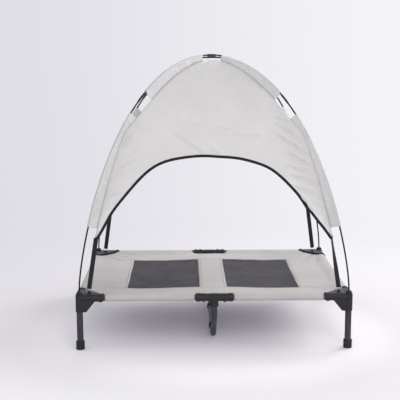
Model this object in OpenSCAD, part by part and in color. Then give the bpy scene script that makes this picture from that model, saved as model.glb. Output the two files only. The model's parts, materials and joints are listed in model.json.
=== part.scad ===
// Raised dog bed with a lift-off dome canopy, in millimetres.
// Origin: centre of the bed's footprint, on the floor. Z is up, the front is at -Y.
// The bed has four legs, so most pieces are drawn once for the rear right corner
// and mirrored to the others.

/* [Frame] */
// Distance between the left and right leg axes
frame_w = 1180; // [900:10:1300]
// Distance between the front and rear leg axes
frame_d = 880; // [700:10:960]
// Height of the rail axes above the floor
rail_z = 232; // [200:2:300]
// Outside diameter of the leg and rail tubes
tube_d = 28; // [25:0.5:32]
// Wall of every steel tube
tube_wall = 1.5; // [1:0.1:2.5]

/* [Corner brackets] */
// Wall of the plastic sleeves round the tubes
sleeve_wall = 3; // [2.5:0.5:4]
// Length of each arm, from the leg axis to the middle of its slanted mouth
arm_len = 103; // [85:1:130]
// Height from the floor to the bottom of the leg sleeve
sleeve_low = 170; // [150:1:185]
// How far the collar at each arm's mouth stands out from the sleeve
collar_rise = 2.5; // [1:0.5:4]
// Width of the collar along the arm
collar_len = 13; // [8:1:20]
// Slant of each arm's mouth from square, longer below
mouth_slant = 14; // [0:1:20]
// Reach of the gusset under each arm, from the leg axis
gusset_reach = 68; // [50:1:80]
// Width of the gusset's lower edge, from the leg axis
gusset_foot = 30; // [22:1:40]
// Width of the gusset across the arm
gusset_w = 27; // [16:1:30]
// Thickness of the top web, its lip and its ribs
web_t = 3; // [2:0.5:5]
// Depth of the lip along the web's inner edge
web_lip = 15; // [8:1:20]
// Diameter of the boss that holds the pole's tip
boss_d = 26; // [20:1:32]
// Height of that boss above the bracket
boss_h = 10; // [6:1:16]
// Depth of the pole's seat below the boss's top
seat_depth = 35; // [25:1:38]

/* [Feet] */
// Diameter of the rubber leg caps
cap_d = 38; // [34:1:46]
// Height of the rubber leg caps
cap_h = 38; // [24:1:50]
// Rubber below the end of the leg
cap_floor = 4; // [3:0.5:8]

/* [Centre brackets] */
// Length of the sleeve that joins the two half rails
centre_len = 162; // [130:1:200]
// Width of the collar at each end of it
centre_collar = 20; // [10:1:28]
// Distance between its two bolts
bolt_span = 93; // [80:1:110]
// Shank diameter of the bolts
bolt_d = 6; // [5:0.5:8]
// Diameter of the neck that takes the centre support
neck_d = 36; // [33:0.5:40]
// Height from the floor to the neck's lower end
neck_low = 192; // [180:1:200]
// Number of grip ribs over the middle of the bracket
rib_count = 5; // [3:1:7]
// Distance between those ribs
rib_pitch = 8; // [6:0.5:10]

/* [Centre support] */
// Outside diameter of the support tube
support_d = 26; // [22:0.5:28]
// Height of the upper bend's corner
support_knee = 150; // [130:1:165]
// Distance from the centre line to the lower bend's corner
support_run = 286; // [220:1:320]
// Radius of the bends along the tube's axis
support_bend = 45; // [40:1:60]
// Outside diameter of the rubber rings it stands on
pad_d = 34; // [30:1:40]
// Length of the rubber rings
pad_len = 30; // [20:1:60]
// Distance between the rubber rings
pad_span = 320; // [200:5:380]

/* [Bed fabric] */
// Thickness of the sleeping sheet
sheet_t = 3; // [2:0.5:4]
// Height of the sheet's top above the rail axes
sheet_rise = 7; // [4:0.5:9]
// Thickness of the hem wrapped round the rails
hem_t = 1.4; // [1:0.1:2]
// Inner edge of each mesh window, from the centre line
window_in = 62; // [40:1:90]
// Outer edge of each mesh window, from the centre line
window_out = 391; // [300:1:420]
// Length of each mesh window from front to rear
window_len = 550; // [400:5:600]
// Thickness of the mesh
mesh_t = 0.8; // [0.6:0.1:1.5]
// How far the mesh laps under the sheet
mesh_lap = 8; // [5:1:14]

/* [Strap rings] */
// Distance from the leg axis to the ring, towards the middle of the bed
ring_inset = 50; // [46:1:56]
// Diameter of the ring's wire
ring_wire = 3.2; // [2.6:0.1:4]
// Clear width inside the ring
ring_clear = 22; // [21:0.5:24]
// Height between the axes of the ring's lower and upper bars
ring_h = 12; // [11:0.5:16]
// Width of the keeper that holds the ring
keeper_w = 15; // [10:1:15]

/* [Poles] */
// Diameter of the poles
pole_d = 7; // [6:0.25:8]
// Height of the pole crossing
pole_top = 1274; // [1150:2:1350]
// Share of their rise over which the poles stay upright
upright_share = 0.1422; // [0.11:0.0002:0.18]
// Distance of the crown's control point from the centre, along the diagonal
pole_crown = 555.5; // [520:0.5:580]
// Outside diameter of the ferrules between the rods
ferrule_d = 9.4; // [8.6:0.1:9.6]
// Length of the ferrules
ferrule_len = 46; // [30:2:60]

/* [Canopy cover] */
// Thickness of the canopy fabric
cover_t = 1.6; // [1.2:0.1:2.5]
// Share of the poles' rise at which the canopy's corner tips lie
tip_share = 0.2226; // [0.21:0.0002:0.24]
// Distance from each tip out to its pole
tip_gap = 46.5; // [40:0.1:54]
// Share of the poles' rise at the ridge's knee, where the walls turn into the roof
knee_share = 0.6909; // [0.67:0.0001:0.71]
// Distance from the knee out to its pole
knee_gap = 28.3; // [24:0.1:36]
// Slope of the ridge at the knee
knee_slope = 36.7; // [30:0.1:42]
// How far the fabric hangs below the pole crossing
roof_drop = 16; // [14:0.5:24]
// Share of the poles' own spread over which the roof's top is flat
roof_share = 0.372; // [0.33:0.001:0.41]
// Share of the poles' rise at the tops of the arches
arch_share = 0.5733; // [0.52:0.0001:0.6]
// Distance from the tips in to the middle of the binding
arch_inset = 3; // [1:0.5:12]
// Width of the binding along the arches
band_w = 12.5; // [8:0.5:18]
// Thickness of the binding
band_t = 2.4; // [2:0.1:4]

/* [Ridge sleeves] */
// Thickness of the sleeve fabric
fin_t = 0.8; // [0.6:0.1:1.2]
// Radius of the channel round the pole
fin_channel = 5.4; // [5.2:0.1:6.5]
// Share of the poles' rise where the lower sleeve starts
fin_start_share = 0.2743; // [0.265:0.0001:0.29]
// Share of their rise where the lower sleeve ends, below the gap
fin_pause_share = 0.7495; // [0.73:0.0001:0.76]
// Share of their rise where the upper sleeve starts, above the gap
fin_resume_share = 0.8406; // [0.82:0.0001:0.85]
// Distance from the apex to the end of the upper sleeve, along the diagonal
fin_end = 57; // [45:1:80]

/* [Straps] */
// Width of the corner straps
strap_w = 20; // [14:1:20]
// Thickness of the corner straps
strap_t = 1.6; // [1:0.1:2.5]
// Twist of the front right strap at its upper end
strap_twist = 62; // [0:1:80]

/* [Hidden] */
$fn = 64;
// Clearances: pieces that stay put, and pieces that turn or slide
fit_gap = 0.1;
run_gap = 0.05;
soft_gap = 0.3;
ferrule_gap = 0.5;
seam_gap = 1.1;

leg_x = frame_w / 2;
leg_y = frame_d / 2;
half_diagonal = norm([leg_x, leg_y]);
diagonal_angle = atan2(leg_y, leg_x);
along_x = leg_x / half_diagonal;
along_y = leg_y / half_diagonal;

sleeve_d = tube_d + 2 * sleeve_wall;
sleeve_bore = tube_d + 2 * fit_gap;
bracket_top = rail_z + sleeve_d / 2;
web_top = bracket_top - 2;
boss_top = bracket_top + boss_h;
leg_top = 210;
rod_foot = boss_top + 5;
rail_start = 25;
mouth_reach = tan(mouth_slant) * (sleeve_d / 2 + collar_rise);
collar_d = sleeve_d + 2 * collar_rise;
web_edge = arm_len - collar_len + 19;

ring_x = leg_x - ring_inset * along_x;
ring_y = leg_y - ring_inset * along_y;
ring_z = web_top + 4;
ring_side = (ring_clear + ring_wire) / 2;
ring_corner_low = 3;
ring_corner_top = 5;
keeper_d = 8;

sheet_top = rail_z + sheet_rise;
hem_bore = tube_d + 2 * soft_gap;
hem_d = hem_bore + 2 * hem_t;
hem_end = arm_len + mouth_reach + 5;
notch_x = centre_len / 2 + 3;
notch_y = sleeve_d / 2 + 5;

support_z = pad_d / 2;

// Rings for the swept pieces
pole_sides = 12;
support_sides = 24;
rod_steps = 12;
fin_steps = 15;
ridge_steps = 14;
arch_steps = 30;

// ---- shared helpers ----

// Puts a piece drawn for the rear right corner at the corner with these signs
module at_corner(side_x, side_y) {
    mirror([side_x < 0 ? 1 : 0, 0, 0]) mirror([0, side_y < 0 ? 1 : 0, 0]) children();
}

// Cylinder along X, from one place to another
module bar_x(from, to, d) {
    translate([from, 0, 0]) rotate([0, 90, 0]) cylinder(d = d, h = to - from);
}

// Cylinder along Y, from one place to another
module bar_y(from, to, d) {
    translate([0, from, 0]) rotate([-90, 0, 0]) cylinder(d = d, h = to - from);
}

// Point and direction of a cubic curve
function curve_point(p, t) =
    pow(1 - t, 3) * p[0] + 3 * pow(1 - t, 2) * t * p[1] + 3 * (1 - t) * t * t * p[2] + pow(t, 3) * p[3];
function curve_slope(p, t) =
    pow(1 - t, 2) * (p[1] - p[0]) + 2 * (1 - t) * t * (p[2] - p[1]) + t * t * (p[3] - p[2]);
function unit(v) = v / norm(v);

// Moves each point of an open line sideways, to the right of its direction
function line_normal(line, i) =
    let (a = line[max(i - 1, 0)], b = line[min(i + 1, len(line) - 1)], v = unit(b - a)) [v[1], -v[0]];
function shifted(line, amount) = [for (i = [0 : len(line) - 1]) line[i] + amount * line_normal(line, i)];
function reversed(line) = [for (i = [len(line) - 1 : -1 : 0]) line[i]];
function flipped(line) = [for (p = line) [-p[0], p[1]]];
function widened(line, k) = [for (p = line) [p[0] * k, p[1]]];

// Solid through a row of rings, closed at both ends
module skin(rings) {
    n = len(rings[0]);
    m = len(rings);
    sides = [for (i = [0 : m - 2], j = [0 : n - 1]) each [
        [i * n + j, i * n + (j + 1) % n, (i + 1) * n + j],
        [i * n + (j + 1) % n, (i + 1) * n + (j + 1) % n, (i + 1) * n + j]
    ]];
    far = (m - 1) * n;
    ends = [for (j = [0 : n / 2 - 2]) each [
        [j, n - 1 - j, j + 1],
        [j + 1, n - 1 - j, n - 2 - j],
        [far + j, far + j + 1, far + n - 1 - j],
        [far + j + 1, far + n - 2 - j, far + n - 1 - j]
    ]];
    polyhedron([for (ring = rings) each ring], concat(sides, ends));
}

// Solid through a row of rings that comes back to its first ring
module skin_loop(rings) {
    n = len(rings[0]);
    m = len(rings);
    polyhedron([for (ring = rings) each ring], [for (i = [0 : m - 1], j = [0 : n - 1]) each [
        [i * n + j, i * n + (j + 1) % n, ((i + 1) % m) * n + j],
        [i * n + (j + 1) % n, ((i + 1) % m) * n + (j + 1) % n, ((i + 1) % m) * n + j]
    ]]);
}

// ---- corner brackets ----

module arm_solid() {
    slab = 60;
    bar_x(0, arm_len, sleeve_d);
    intersection() {
        bar_x(arm_len - collar_len - mouth_reach, arm_len + mouth_reach + 1, collar_d);
        translate([arm_len, 0, 0]) rotate([0, mouth_slant, 0])
            translate([-collar_len, -slab / 2, -slab / 2]) cube([collar_len, slab, slab]);
    }
}

module arm_gusset() {
    low = sleeve_low - rail_z + 1;
    translate([0, -gusset_w / 2, 0]) rotate([90, 0, 0]) mirror([0, 0, 1])
        linear_extrude(gusset_w)
            polygon([[0, 0], [gusset_reach, 0], [gusset_reach, 3 - sleeve_d / 2], [gusset_foot, low], [0, low]]);
}

// One arm with its gusset along X, the other along Y
module arm_pair() {
    translate([0, 0, rail_z]) {
        arm_solid();
        arm_gusset();
        mirror([1, -1, 0]) {
            arm_solid();
            arm_gusset();
        }
    }
}

module leg_sleeve() {
    top_round = 5;
    rotate_extrude() difference() {
        translate([0, sleeve_low]) square([sleeve_d / 2, bracket_top - sleeve_low]);
        translate([sleeve_d / 2 - top_round, bracket_top - top_round]) difference() {
            square(top_round + 1);
            circle(top_round);
        }
    }
}

module pole_boss() {
    edge = 3;
    translate([0, 0, bracket_top - 6]) cylinder(d = boss_d, h = boss_h + 6 - edge);
    translate([0, 0, boss_top - edge]) cylinder(d1 = boss_d, d2 = boss_d - 2 * edge, h = edge);
}

module web_outline(inset) {
    reach = arm_len - collar_len - inset;
    edge = web_edge - 1.5 * inset;
    polygon([[0, 0], [reach, 0], [reach, edge - reach], [edge - reach, reach], [0, reach]]);
}

// Flat web between the arms, with a lip along its inner edge and a rib under it
module corner_web() {
    translate([0, 0, web_top - web_t]) linear_extrude(web_t) web_outline(0);
    translate([0, 0, web_top - web_lip]) linear_extrude(web_lip - web_t / 2) difference() {
        web_outline(0);
        web_outline(web_t);
    }
    translate([0, 0, web_top - web_lip]) rotate([0, 0, 45]) translate([0, -web_t / 2, 0])
        cube([web_edge / sqrt(2) - 1, web_t, web_lip - web_t / 2]);
}

module ring_keeper() {
    translate([-keeper_w / 2, -keeper_d / 2, web_top - 1]) cube([keeper_w, keeper_d, ring_z - web_top + 1]);
    translate([0, 0, ring_z]) bar_x(-keeper_w / 2, keeper_w / 2, keeper_d);
}

// The rear right bracket, with its leg on the Z axis and its arms towards -X and -Y
module corner_bracket() {
    difference() {
        union() {
            mirror([1, 0, 0]) mirror([0, 1, 0]) {
                arm_pair();
                corner_web();
            }
            leg_sleeve();
            pole_boss();
            translate([ring_x - leg_x, ring_y - leg_y, 0]) ring_keeper();
        }
        translate([0, 0, sleeve_low - 1]) cylinder(d = sleeve_bore, h = leg_top + fit_gap - sleeve_low + 1);
        translate([0, 0, rail_z]) {
            bar_x(-arm_len - 20, -rail_start, sleeve_bore);
            bar_y(-arm_len - 20, -rail_start, sleeve_bore);
        }
        translate([0, 0, boss_top - seat_depth]) cylinder(d = pole_d + 2 * run_gap, h = seat_depth + 1);
        translate([ring_x - leg_x, ring_y - leg_y, ring_z])
            bar_x(-keeper_w, keeper_w, ring_wire + 2 * run_gap);
    }
}

module place_bracket(side_x, side_y) {
    color([0.19, 0.18, 0.2]) at_corner(side_x, side_y) translate([leg_x, leg_y, 0]) corner_bracket();
}

module corner_bracket_fl() { place_bracket(-1, -1); }
module corner_bracket_fr() { place_bracket(1, -1); }
module corner_bracket_rl() { place_bracket(-1, 1); }
module corner_bracket_rr() { place_bracket(1, 1); }

// ---- legs and feet ----

module place_leg(side_x, side_y) {
    color([0.23, 0.22, 0.25]) translate([side_x * leg_x, side_y * leg_y, cap_floor]) difference() {
        cylinder(d = tube_d, h = leg_top - cap_floor);
        translate([0, 0, -1]) cylinder(d = tube_d - 2 * tube_wall, h = leg_top - cap_floor + 2);
    }
}

module leg_fl() { place_leg(-1, -1); }
module leg_fr() { place_leg(1, -1); }
module leg_rl() { place_leg(-1, 1); }
module leg_rr() { place_leg(1, 1); }

module place_cap(side_x, side_y) {
    edge = 2;
    r = cap_d / 2;
    color([0.1, 0.1, 0.11]) translate([side_x * leg_x, side_y * leg_y, 0]) difference() {
        rotate_extrude() polygon([
            [0, 0], [r - edge, 0], [r, edge], [r, 9], [r - 1, 10], [r - 1, 13], [r, 14],
            [r, cap_h - 1.5], [r - 1.5, cap_h], [0, cap_h]
        ]);
        translate([0, 0, cap_floor]) cylinder(d = sleeve_bore, h = cap_h);
    }
}

module foot_cap_fl() { place_cap(-1, -1); }
module foot_cap_fr() { place_cap(1, -1); }
module foot_cap_rl() { place_cap(-1, 1); }
module foot_cap_rr() { place_cap(1, 1); }

// ---- rails ----

module half_rail(side_x, side_y) {
    color([0.23, 0.22, 0.25]) at_corner(side_x, side_y) translate([0, leg_y, rail_z]) difference() {
        bar_x(web_t / 2 + fit_gap, leg_x - rail_start - 0.5, tube_d);
        bar_x(-1, leg_x, tube_d - 2 * tube_wall);
        translate([bolt_span / 2, 0, -tube_d]) cylinder(d = bolt_d + 2 * fit_gap, h = 2 * tube_d);
    }
}

module front_rail_left() { half_rail(-1, -1); }
module front_rail_right() { half_rail(1, -1); }
module rear_rail_left() { half_rail(-1, 1); }
module rear_rail_right() { half_rail(1, 1); }

module side_rail(side_x) {
    end = leg_y - rail_start - 0.5;
    color([0.23, 0.22, 0.25]) translate([side_x * leg_x, 0, rail_z]) difference() {
        bar_y(-end, end, tube_d);
        bar_y(-end - 1, end + 1, tube_d - 2 * tube_wall);
    }
}

module side_rail_left() { side_rail(-1); }
module side_rail_right() { side_rail(1); }

// ---- centre brackets and their bolts ----

module centre_sleeve() {
    half = centre_len / 2;
    bar_x(-half, half, sleeve_d);
    for (side = [-1, 1]) {
        translate([side * (half - centre_collar / 2), 0, 0])
            bar_x(-centre_collar / 2, centre_collar / 2, sleeve_d + 4);
        translate([side * bolt_span / 2, 0, -sleeve_d / 2 - 1]) cylinder(d = 16, h = sleeve_d + 2);
    }
    for (i = [0 : rib_count - 1]) {
        translate([(i - (rib_count - 1) / 2) * rib_pitch, 0, 0]) intersection() {
            bar_x(-1.5, 1.5, sleeve_d + 4);
            translate([-5, -sleeve_d, 4]) cube([10, 2 * sleeve_d, sleeve_d]);
        }
    }
}

module centre_bracket() {
    color([0.19, 0.18, 0.2]) translate([0, leg_y, rail_z]) difference() {
        union() {
            centre_sleeve();
            translate([0, 0, neck_low - rail_z]) cylinder(d = neck_d, h = rail_z - neck_low);
        }
        for (side = [0, 1]) {
            mirror([side, 0, 0]) bar_x(web_t / 2, centre_len, sleeve_bore);
            mirror([side, 0, 0]) translate([bolt_span / 2, 0, -sleeve_d])
                cylinder(d = bolt_d + 2 * fit_gap, h = 2 * sleeve_d);
        }
        translate([0, 0, neck_low - rail_z - 1])
            cylinder(d = support_d + 2 * fit_gap, h = leg_top + fit_gap - neck_low + 1);
    }
}

module centre_bracket_rear() { centre_bracket(); }
module centre_bracket_front() { mirror([0, 1, 0]) centre_bracket(); }

bolt_seat = sleeve_d / 2 + 1;
nut_h = 5;

module at_bolts() {
    for (x = [-1, 1], y = [-1, 1]) translate([x * bolt_span / 2, y * leg_y, rail_z]) children();
}

module centre_bolts() {
    head = bolt_d * 1.1;
    rise = bolt_d * 0.6;
    color([0.45, 0.45, 0.47]) at_bolts() rotate_extrude() polygon([
        [0, -bolt_seat - nut_h - 2], [bolt_d / 2 - 0.6, -bolt_seat - nut_h - 2],
        [bolt_d / 2, -bolt_seat - nut_h - 1.4], [bolt_d / 2, bolt_seat], [head, bolt_seat],
        [head, bolt_seat + rise * 0.45], [head * 0.8, bolt_seat + rise * 0.85], [head * 0.4, bolt_seat + rise],
        [0, bolt_seat + rise]
    ]);
}

module centre_nuts() {
    color([0.45, 0.45, 0.47]) at_bolts() translate([0, 0, -bolt_seat - nut_h]) difference() {
        cylinder(d = bolt_d * 1.9, h = nut_h, $fn = 6);
        translate([0, 0, -1]) cylinder(d = bolt_d + 2 * fit_gap, h = nut_h + 2);
    }
}

// ---- centre support ----

// Stations along the tube from the middle of the bed to the rear neck:
// distance from the centre, height, and slope of the tube there
support_slope = atan2(support_knee - support_z, leg_y - support_run);
support_low_turn = support_bend * tan(support_slope / 2);
support_high_turn = support_bend * tan((90 - support_slope) / 2);

function support_arc(y, z, from, to) =
    [for (i = [0 : 5]) let (a = from + (to - from) * i / 5) [y + support_bend * sin(a), z - support_bend * cos(a), a]];

support_half = concat(
    support_arc(support_run - support_low_turn, support_z + support_bend, 0, support_slope),
    support_arc(leg_y - support_bend, support_knee + support_high_turn, support_slope, 90),
    [[leg_y, leg_top, 90]]
);
support_line = concat([for (p = reversed(support_half)) [-p[0], p[1], -p[2]]], support_half);

function support_rings(r) =
    [for (p = support_line) [for (i = [0 : support_sides - 1]) let (a = i * 360 / support_sides)
        [r * cos(a), p[0] - r * sin(a) * sin(p[2]), p[1] + r * sin(a) * cos(p[2])]]];

// One bent tube: down from the front neck, along the floor and up to the rear neck
module centre_support() {
    color([0.23, 0.22, 0.25])
        skin_loop(concat(support_rings(support_d / 2), reversed(support_rings(support_d / 2 - tube_wall))));
}

module support_pads() {
    color([0.1, 0.1, 0.11]) for (side = [-1, 1]) translate([0, side * pad_span / 2, support_z]) difference() {
        bar_y(-pad_len / 2, pad_len / 2, pad_d);
        bar_y(-pad_len, pad_len, support_d + 2 * fit_gap);
    }
}

// ---- bed fabric ----

// One corner of the sheet's outline, cut back round the bracket's collars and web
module sheet_cut() {
    side = collar_d / 2 + 1.5;
    slant = web_edge + 11 - side;
    polygon([
        [-tube_d, -tube_d], [hem_end, -tube_d], [hem_end, side], [slant, side],
        [side, slant], [side, hem_end], [-tube_d, hem_end]
    ]);
}

module bed_fabric() {
    color([0.79, 0.78, 0.78]) difference() {
        union() {
            translate([-leg_x, -leg_y, sheet_top - sheet_t]) cube([frame_w, frame_d, sheet_t]);
            for (side = [-1, 1]) {
                translate([side * leg_x, 0, rail_z]) bar_y(-leg_y, leg_y, hem_d);
                translate([0, side * leg_y, rail_z]) bar_x(-leg_x, leg_x, hem_d);
            }
        }
        for (side = [-1, 1]) {
            translate([side * leg_x, 0, rail_z]) bar_y(-leg_y - 1, leg_y + 1, hem_bore);
            translate([0, side * leg_y, rail_z]) bar_x(-leg_x - 1, leg_x + 1, hem_bore);
            translate([-notch_x, side * leg_y - notch_y, sleeve_low])
                cube([2 * notch_x, 2 * notch_y, boss_top - sleeve_low]);
            translate([side * (window_in + window_out) / 2, 0, rail_z])
                linear_extrude(sleeve_d, center = true) square([window_out - window_in, window_len], center = true);
            for (end = [-1, 1]) at_corner(side, end) translate([leg_x, leg_y, sleeve_low]) rotate([0, 0, 180])
                linear_extrude(boss_top - sleeve_low) sheet_cut();
        }
    }
}

module mesh_window(side) {
    w = window_out - window_in + 2 * mesh_lap;
    len = window_len + 2 * mesh_lap;
    color([0.32, 0.32, 0.34])
        translate([side * (window_in + window_out) / 2 - w / 2, -len / 2, sheet_top - sheet_t - mesh_t - fit_gap])
            cube([w, len, mesh_t]);
}

module mesh_window_left() { mesh_window(-1); }
module mesh_window_right() { mesh_window(1); }

// ---- strap rings ----

module wire_corner(x, z, r, turn) {
    translate([x, 0, z]) rotate([90, 0, 0]) rotate([0, 0, turn])
        rotate_extrude(angle = 90) translate([r, 0]) circle(d = ring_wire);
}

module place_ring(side_x, side_y) {
    low = ring_corner_low;
    top = ring_corner_top;
    color([0.75, 0.75, 0.77]) translate([side_x * ring_x, side_y * ring_y, ring_z]) {
        bar_x(-ring_side + low, ring_side - low, ring_wire);
        translate([0, 0, ring_h]) bar_x(-ring_side + top, ring_side - top, ring_wire);
        for (side = [-1, 1]) translate([side * ring_side, 0, low]) cylinder(d = ring_wire, h = ring_h - low - top);
        wire_corner(ring_side - low, low, low, -90);
        wire_corner(-ring_side + low, low, low, 180);
        wire_corner(ring_side - top, ring_h - top, top, 0);
        wire_corner(-ring_side + top, ring_h - top, top, 90);
    }
}

module strap_ring_fl() { place_ring(-1, -1); }
module strap_ring_fr() { place_ring(1, -1); }
module strap_ring_rl() { place_ring(-1, 1); }
module strap_ring_rr() { place_ring(1, 1); }

// ---- poles ----

// Each pole is a curve in its own diagonal plane: distance from the centre, height.
// At the crossing one pole's middle ferrule passes over the other's.
crossing_lift = ferrule_d / 2 + soft_gap / 2;

// Height at a share of the poles' rise
function risen(share) = rod_foot + share * (pole_top - rod_foot);

function pole_curve(lift) = [
    [half_diagonal, rod_foot], [half_diagonal, risen(upright_share)],
    [pole_crown, pole_top + lift], [0, pole_top + lift]
];

// Parameter of the curve at a height, and the pole's distance from the centre there
pole_heights = [for (i = [0 : 100]) [curve_point(pole_curve(0), i / 100)[1], i / 100]];
function pole_at_height(z) = lookup(z, pole_heights);
function pole_out(z) = curve_point(pole_curve(0), pole_at_height(z))[0];

// Length along the curve from the crossing, paired with the curve's parameter
length_steps = 120;
pole_lengths = [
    for (i = 0, s = 0; i <= length_steps;
         s = s + norm(curve_point(pole_curve(0), 1 - i / length_steps)
                      - curve_point(pole_curve(0), 1 - min(i + 1, length_steps) / length_steps)), i = i + 1)
    [s, 1 - i / length_steps]
];
half_length = pole_lengths[length_steps][0];

// Ring of points round the pole, at a distance from the crossing along the pole.
// Distances on the far side of the crossing are negative.
function pole_ring(s, r, lift) =
    let (
        side = s < 0 ? -1 : 1,
        t = lookup(abs(s), pole_lengths),
        p = curve_point(pole_curve(lift), t),
        v = unit(curve_slope(pole_curve(lift), t))
    )
    [for (i = [0 : pole_sides - 1]) let (a = i * 360 / pole_sides)
        [side * (p[0] + r * cos(a) * v[1]), r * sin(a), p[1] - r * cos(a) * v[0]]];

function pole_rings(from, to, r, lift, steps) =
    [for (i = [0 : steps]) pole_ring(from + (to - from) * i / steps, r, lift)];

module pole(lift) {
    rod = half_length / 3;
    for (k = [-3 : 2]) {
        from = k * rod + (k > -3 ? 0.5 : 0);
        to = (k + 1) * rod - (k < 2 ? 0.5 : 0);
        skin(pole_rings(from, to, pole_d / 2, lift, rod_steps));
    }
}

module ferrules(lift) {
    rod = half_length / 3;
    half = ferrule_len / 2;
    for (k = [-2 : 2]) {
        outer = pole_rings(k * rod - half, k * rod + half, ferrule_d / 2, lift, 4);
        inner = pole_rings(k * rod - half, k * rod + half, pole_d / 2 + ferrule_gap, lift, 4);
        skin_loop(concat(outer, reversed(inner)));
    }
}

// The pole that runs from the front left to the rear right passes over the other
module pole_over() { color([0.13, 0.13, 0.14]) rotate([0, 0, diagonal_angle]) pole(crossing_lift); }
module pole_under() { color([0.13, 0.13, 0.14]) rotate([0, 0, -diagonal_angle]) pole(-crossing_lift); }
module ferrules_over() { color([0.2, 0.2, 0.22]) rotate([0, 0, diagonal_angle]) ferrules(crossing_lift); }
module ferrules_under() { color([0.2, 0.2, 0.22]) rotate([0, 0, -diagonal_angle]) ferrules(-crossing_lift); }

// Ends of the poles, which stand in the corner brackets
module pole_tips() {
    foot = boss_top - seat_depth + 0.2;
    color([0.13, 0.13, 0.14]) for (x = [-1, 1], y = [-1, 1]) translate([x * leg_x, y * leg_y, foot]) {
        cylinder(d1 = pole_d - 1.6, d2 = pole_d, h = 0.8);
        translate([0, 0, 0.8]) cylinder(d = pole_d, h = rod_foot - foot - 0.8);
    }
}

// ---- canopy cover ----

// The ridge is the same line in all four diagonal planes: a steep wall, a knee and a roof
tip_z = risen(tip_share);
tip_out = pole_out(tip_z) - tip_gap;
roof_z = pole_top - roof_drop;
tip = [tip_out, tip_z];
knee = [pole_out(risen(knee_share)) - knee_gap, risen(knee_share)];
tip_dir = [-0.3, 0.95];
knee_dir = [-cos(knee_slope), sin(knee_slope)];
wall_step = norm(knee - tip) / 10;
wall_curve = [tip, tip + wall_step * tip_dir, knee - 1.42 * wall_step * knee_dir, knee];
roof_curve = [knee, knee + 1.47 * wall_step * knee_dir, [roof_share * pole_crown, roof_z], [0, roof_z]];

function ridge_point(u) = u < 0.5 ? curve_point(wall_curve, 2 * u) : curve_point(roof_curve, 2 * u - 1);

ridge_line = [for (i = [0 : 2 * ridge_steps]) ridge_point(i / (2 * ridge_steps))];

// Height profile of two opposite panels: level across, following the ridge up and over
module panel_profile(spread, inset) {
    low = 30;
    half = shifted(widened(ridge_line, spread), -inset);
    clean = [for (p = half) if (p[0] > 0.5) p];
    top = half[len(half) - 1][1];
    foot = clean[0] + [(clean[0][0] - clean[1][0]) / (clean[1][1] - clean[0][1]) * low, -low];
    polygon(concat([foot], clean, [[0, top]], flipped(reversed(clean)), [[-foot[0], foot[1]]]));
}

module along_y_axis(width) {
    rotate([90, 0, 0]) linear_extrude(width, center = true) children();
}

module along_x_axis(width) {
    rotate([90, 0, 90]) linear_extrude(width, center = true) children();
}

// Middle of the binding round the front arch, from its top to its right foot
arch_top = risen(arch_share);
arch_foot = tip_z - 12;
arch_half = tip_out * along_x - arch_inset;
arch_curve = [
    [0, arch_top], [arch_half * 0.579, arch_top],
    [arch_half * 0.8456, arch_foot + (arch_top - arch_foot) * 0.3114], [arch_half, arch_foot]
];
arch_line = [for (i = [0 : arch_steps]) curve_point(arch_curve, i / arch_steps)];

// Edge of the binding, on the arch's side or the cover's side of its middle
function arch_edge(amount, k) =
    let (line = shifted(widened(arch_line, k), -amount), clean = [for (p = line) if (p[0] > 0.5) p])
    concat([[0, line[0][1]]], clean);

module arch_hole(amount, k) {
    edge = arch_edge(amount, k);
    last = edge[len(edge) - 1];
    polygon(concat(flipped(reversed(edge)), edge, [[last[0], tip_z - 60], [-last[0], tip_z - 60]]));
}

side_spread = frame_d / frame_w;

// One panel's sheet between its two ridges, from above the surface to below it.
// It stops a margin short of the ridges, and it faces +Y.
module panel_sheet(panel_spread, reach, above, below, margin) {
    far = 3 * frame_w;
    intersection() {
        along_x_axis(far) difference() {
            panel_profile(panel_spread, -above);
            panel_profile(panel_spread, below);
            translate([-far, 0]) square([far, far]);
        }
        translate([0, margin / reach, 0]) linear_extrude(pole_top)
            polygon([[0, 0], [reach * far, far], [-reach * far, far]]);
    }
}

// The panel above its arch
module canopy_panel(panel_spread, arch_spread, reach) {
    far = 3 * frame_w;
    color([0.87, 0.86, 0.86]) difference() {
        panel_sheet(panel_spread, reach, 0, cover_t, run_gap);
        along_y_axis(far) arch_hole(band_w / 2 + fit_gap, arch_spread);
        translate([-far / 2, 0, 0]) cube([far, far, tip_z]);
    }
}

// The binding along the panel's arch
module binding(panel_spread, arch_spread, reach) {
    extra = (band_t - cover_t) / 2;
    far = 3 * frame_w;
    color([0.15, 0.15, 0.17]) intersection() {
        panel_sheet(panel_spread, reach, extra, cover_t + extra, 1.2);
        along_y_axis(far) difference() {
            arch_hole(band_w / 2, arch_spread);
            arch_hole(-band_w / 2, arch_spread);
            translate([-far / 2, 0]) square([far, tip_z]);
        }
    }
}

long_reach = leg_x / leg_y;

module canopy_rear() { canopy_panel(along_y, 1, long_reach); }
module canopy_front() { mirror([0, 1, 0]) canopy_panel(along_y, 1, long_reach); }
module canopy_left() { rotate([0, 0, 90]) canopy_panel(along_x, side_spread, 1 / long_reach); }
module canopy_right() { rotate([0, 0, -90]) canopy_panel(along_x, side_spread, 1 / long_reach); }

module binding_rear() { binding(along_y, 1, long_reach); }
module binding_front() { mirror([0, 1, 0]) binding(along_y, 1, long_reach); }
module binding_left() { rotate([0, 0, 90]) binding(along_x, side_spread, 1 / long_reach); }
module binding_right() { rotate([0, 0, -90]) binding(along_x, side_spread, 1 / long_reach); }

// ---- ridge sleeves ----

// Parameter of the ridge point straight in from the pole, square to the pole there
function ridge_under(p, v) =
    lookup(0, [for (i = [0 : 80]) [(ridge_point(i / 80) - p) * v, i / 80]]);

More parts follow.
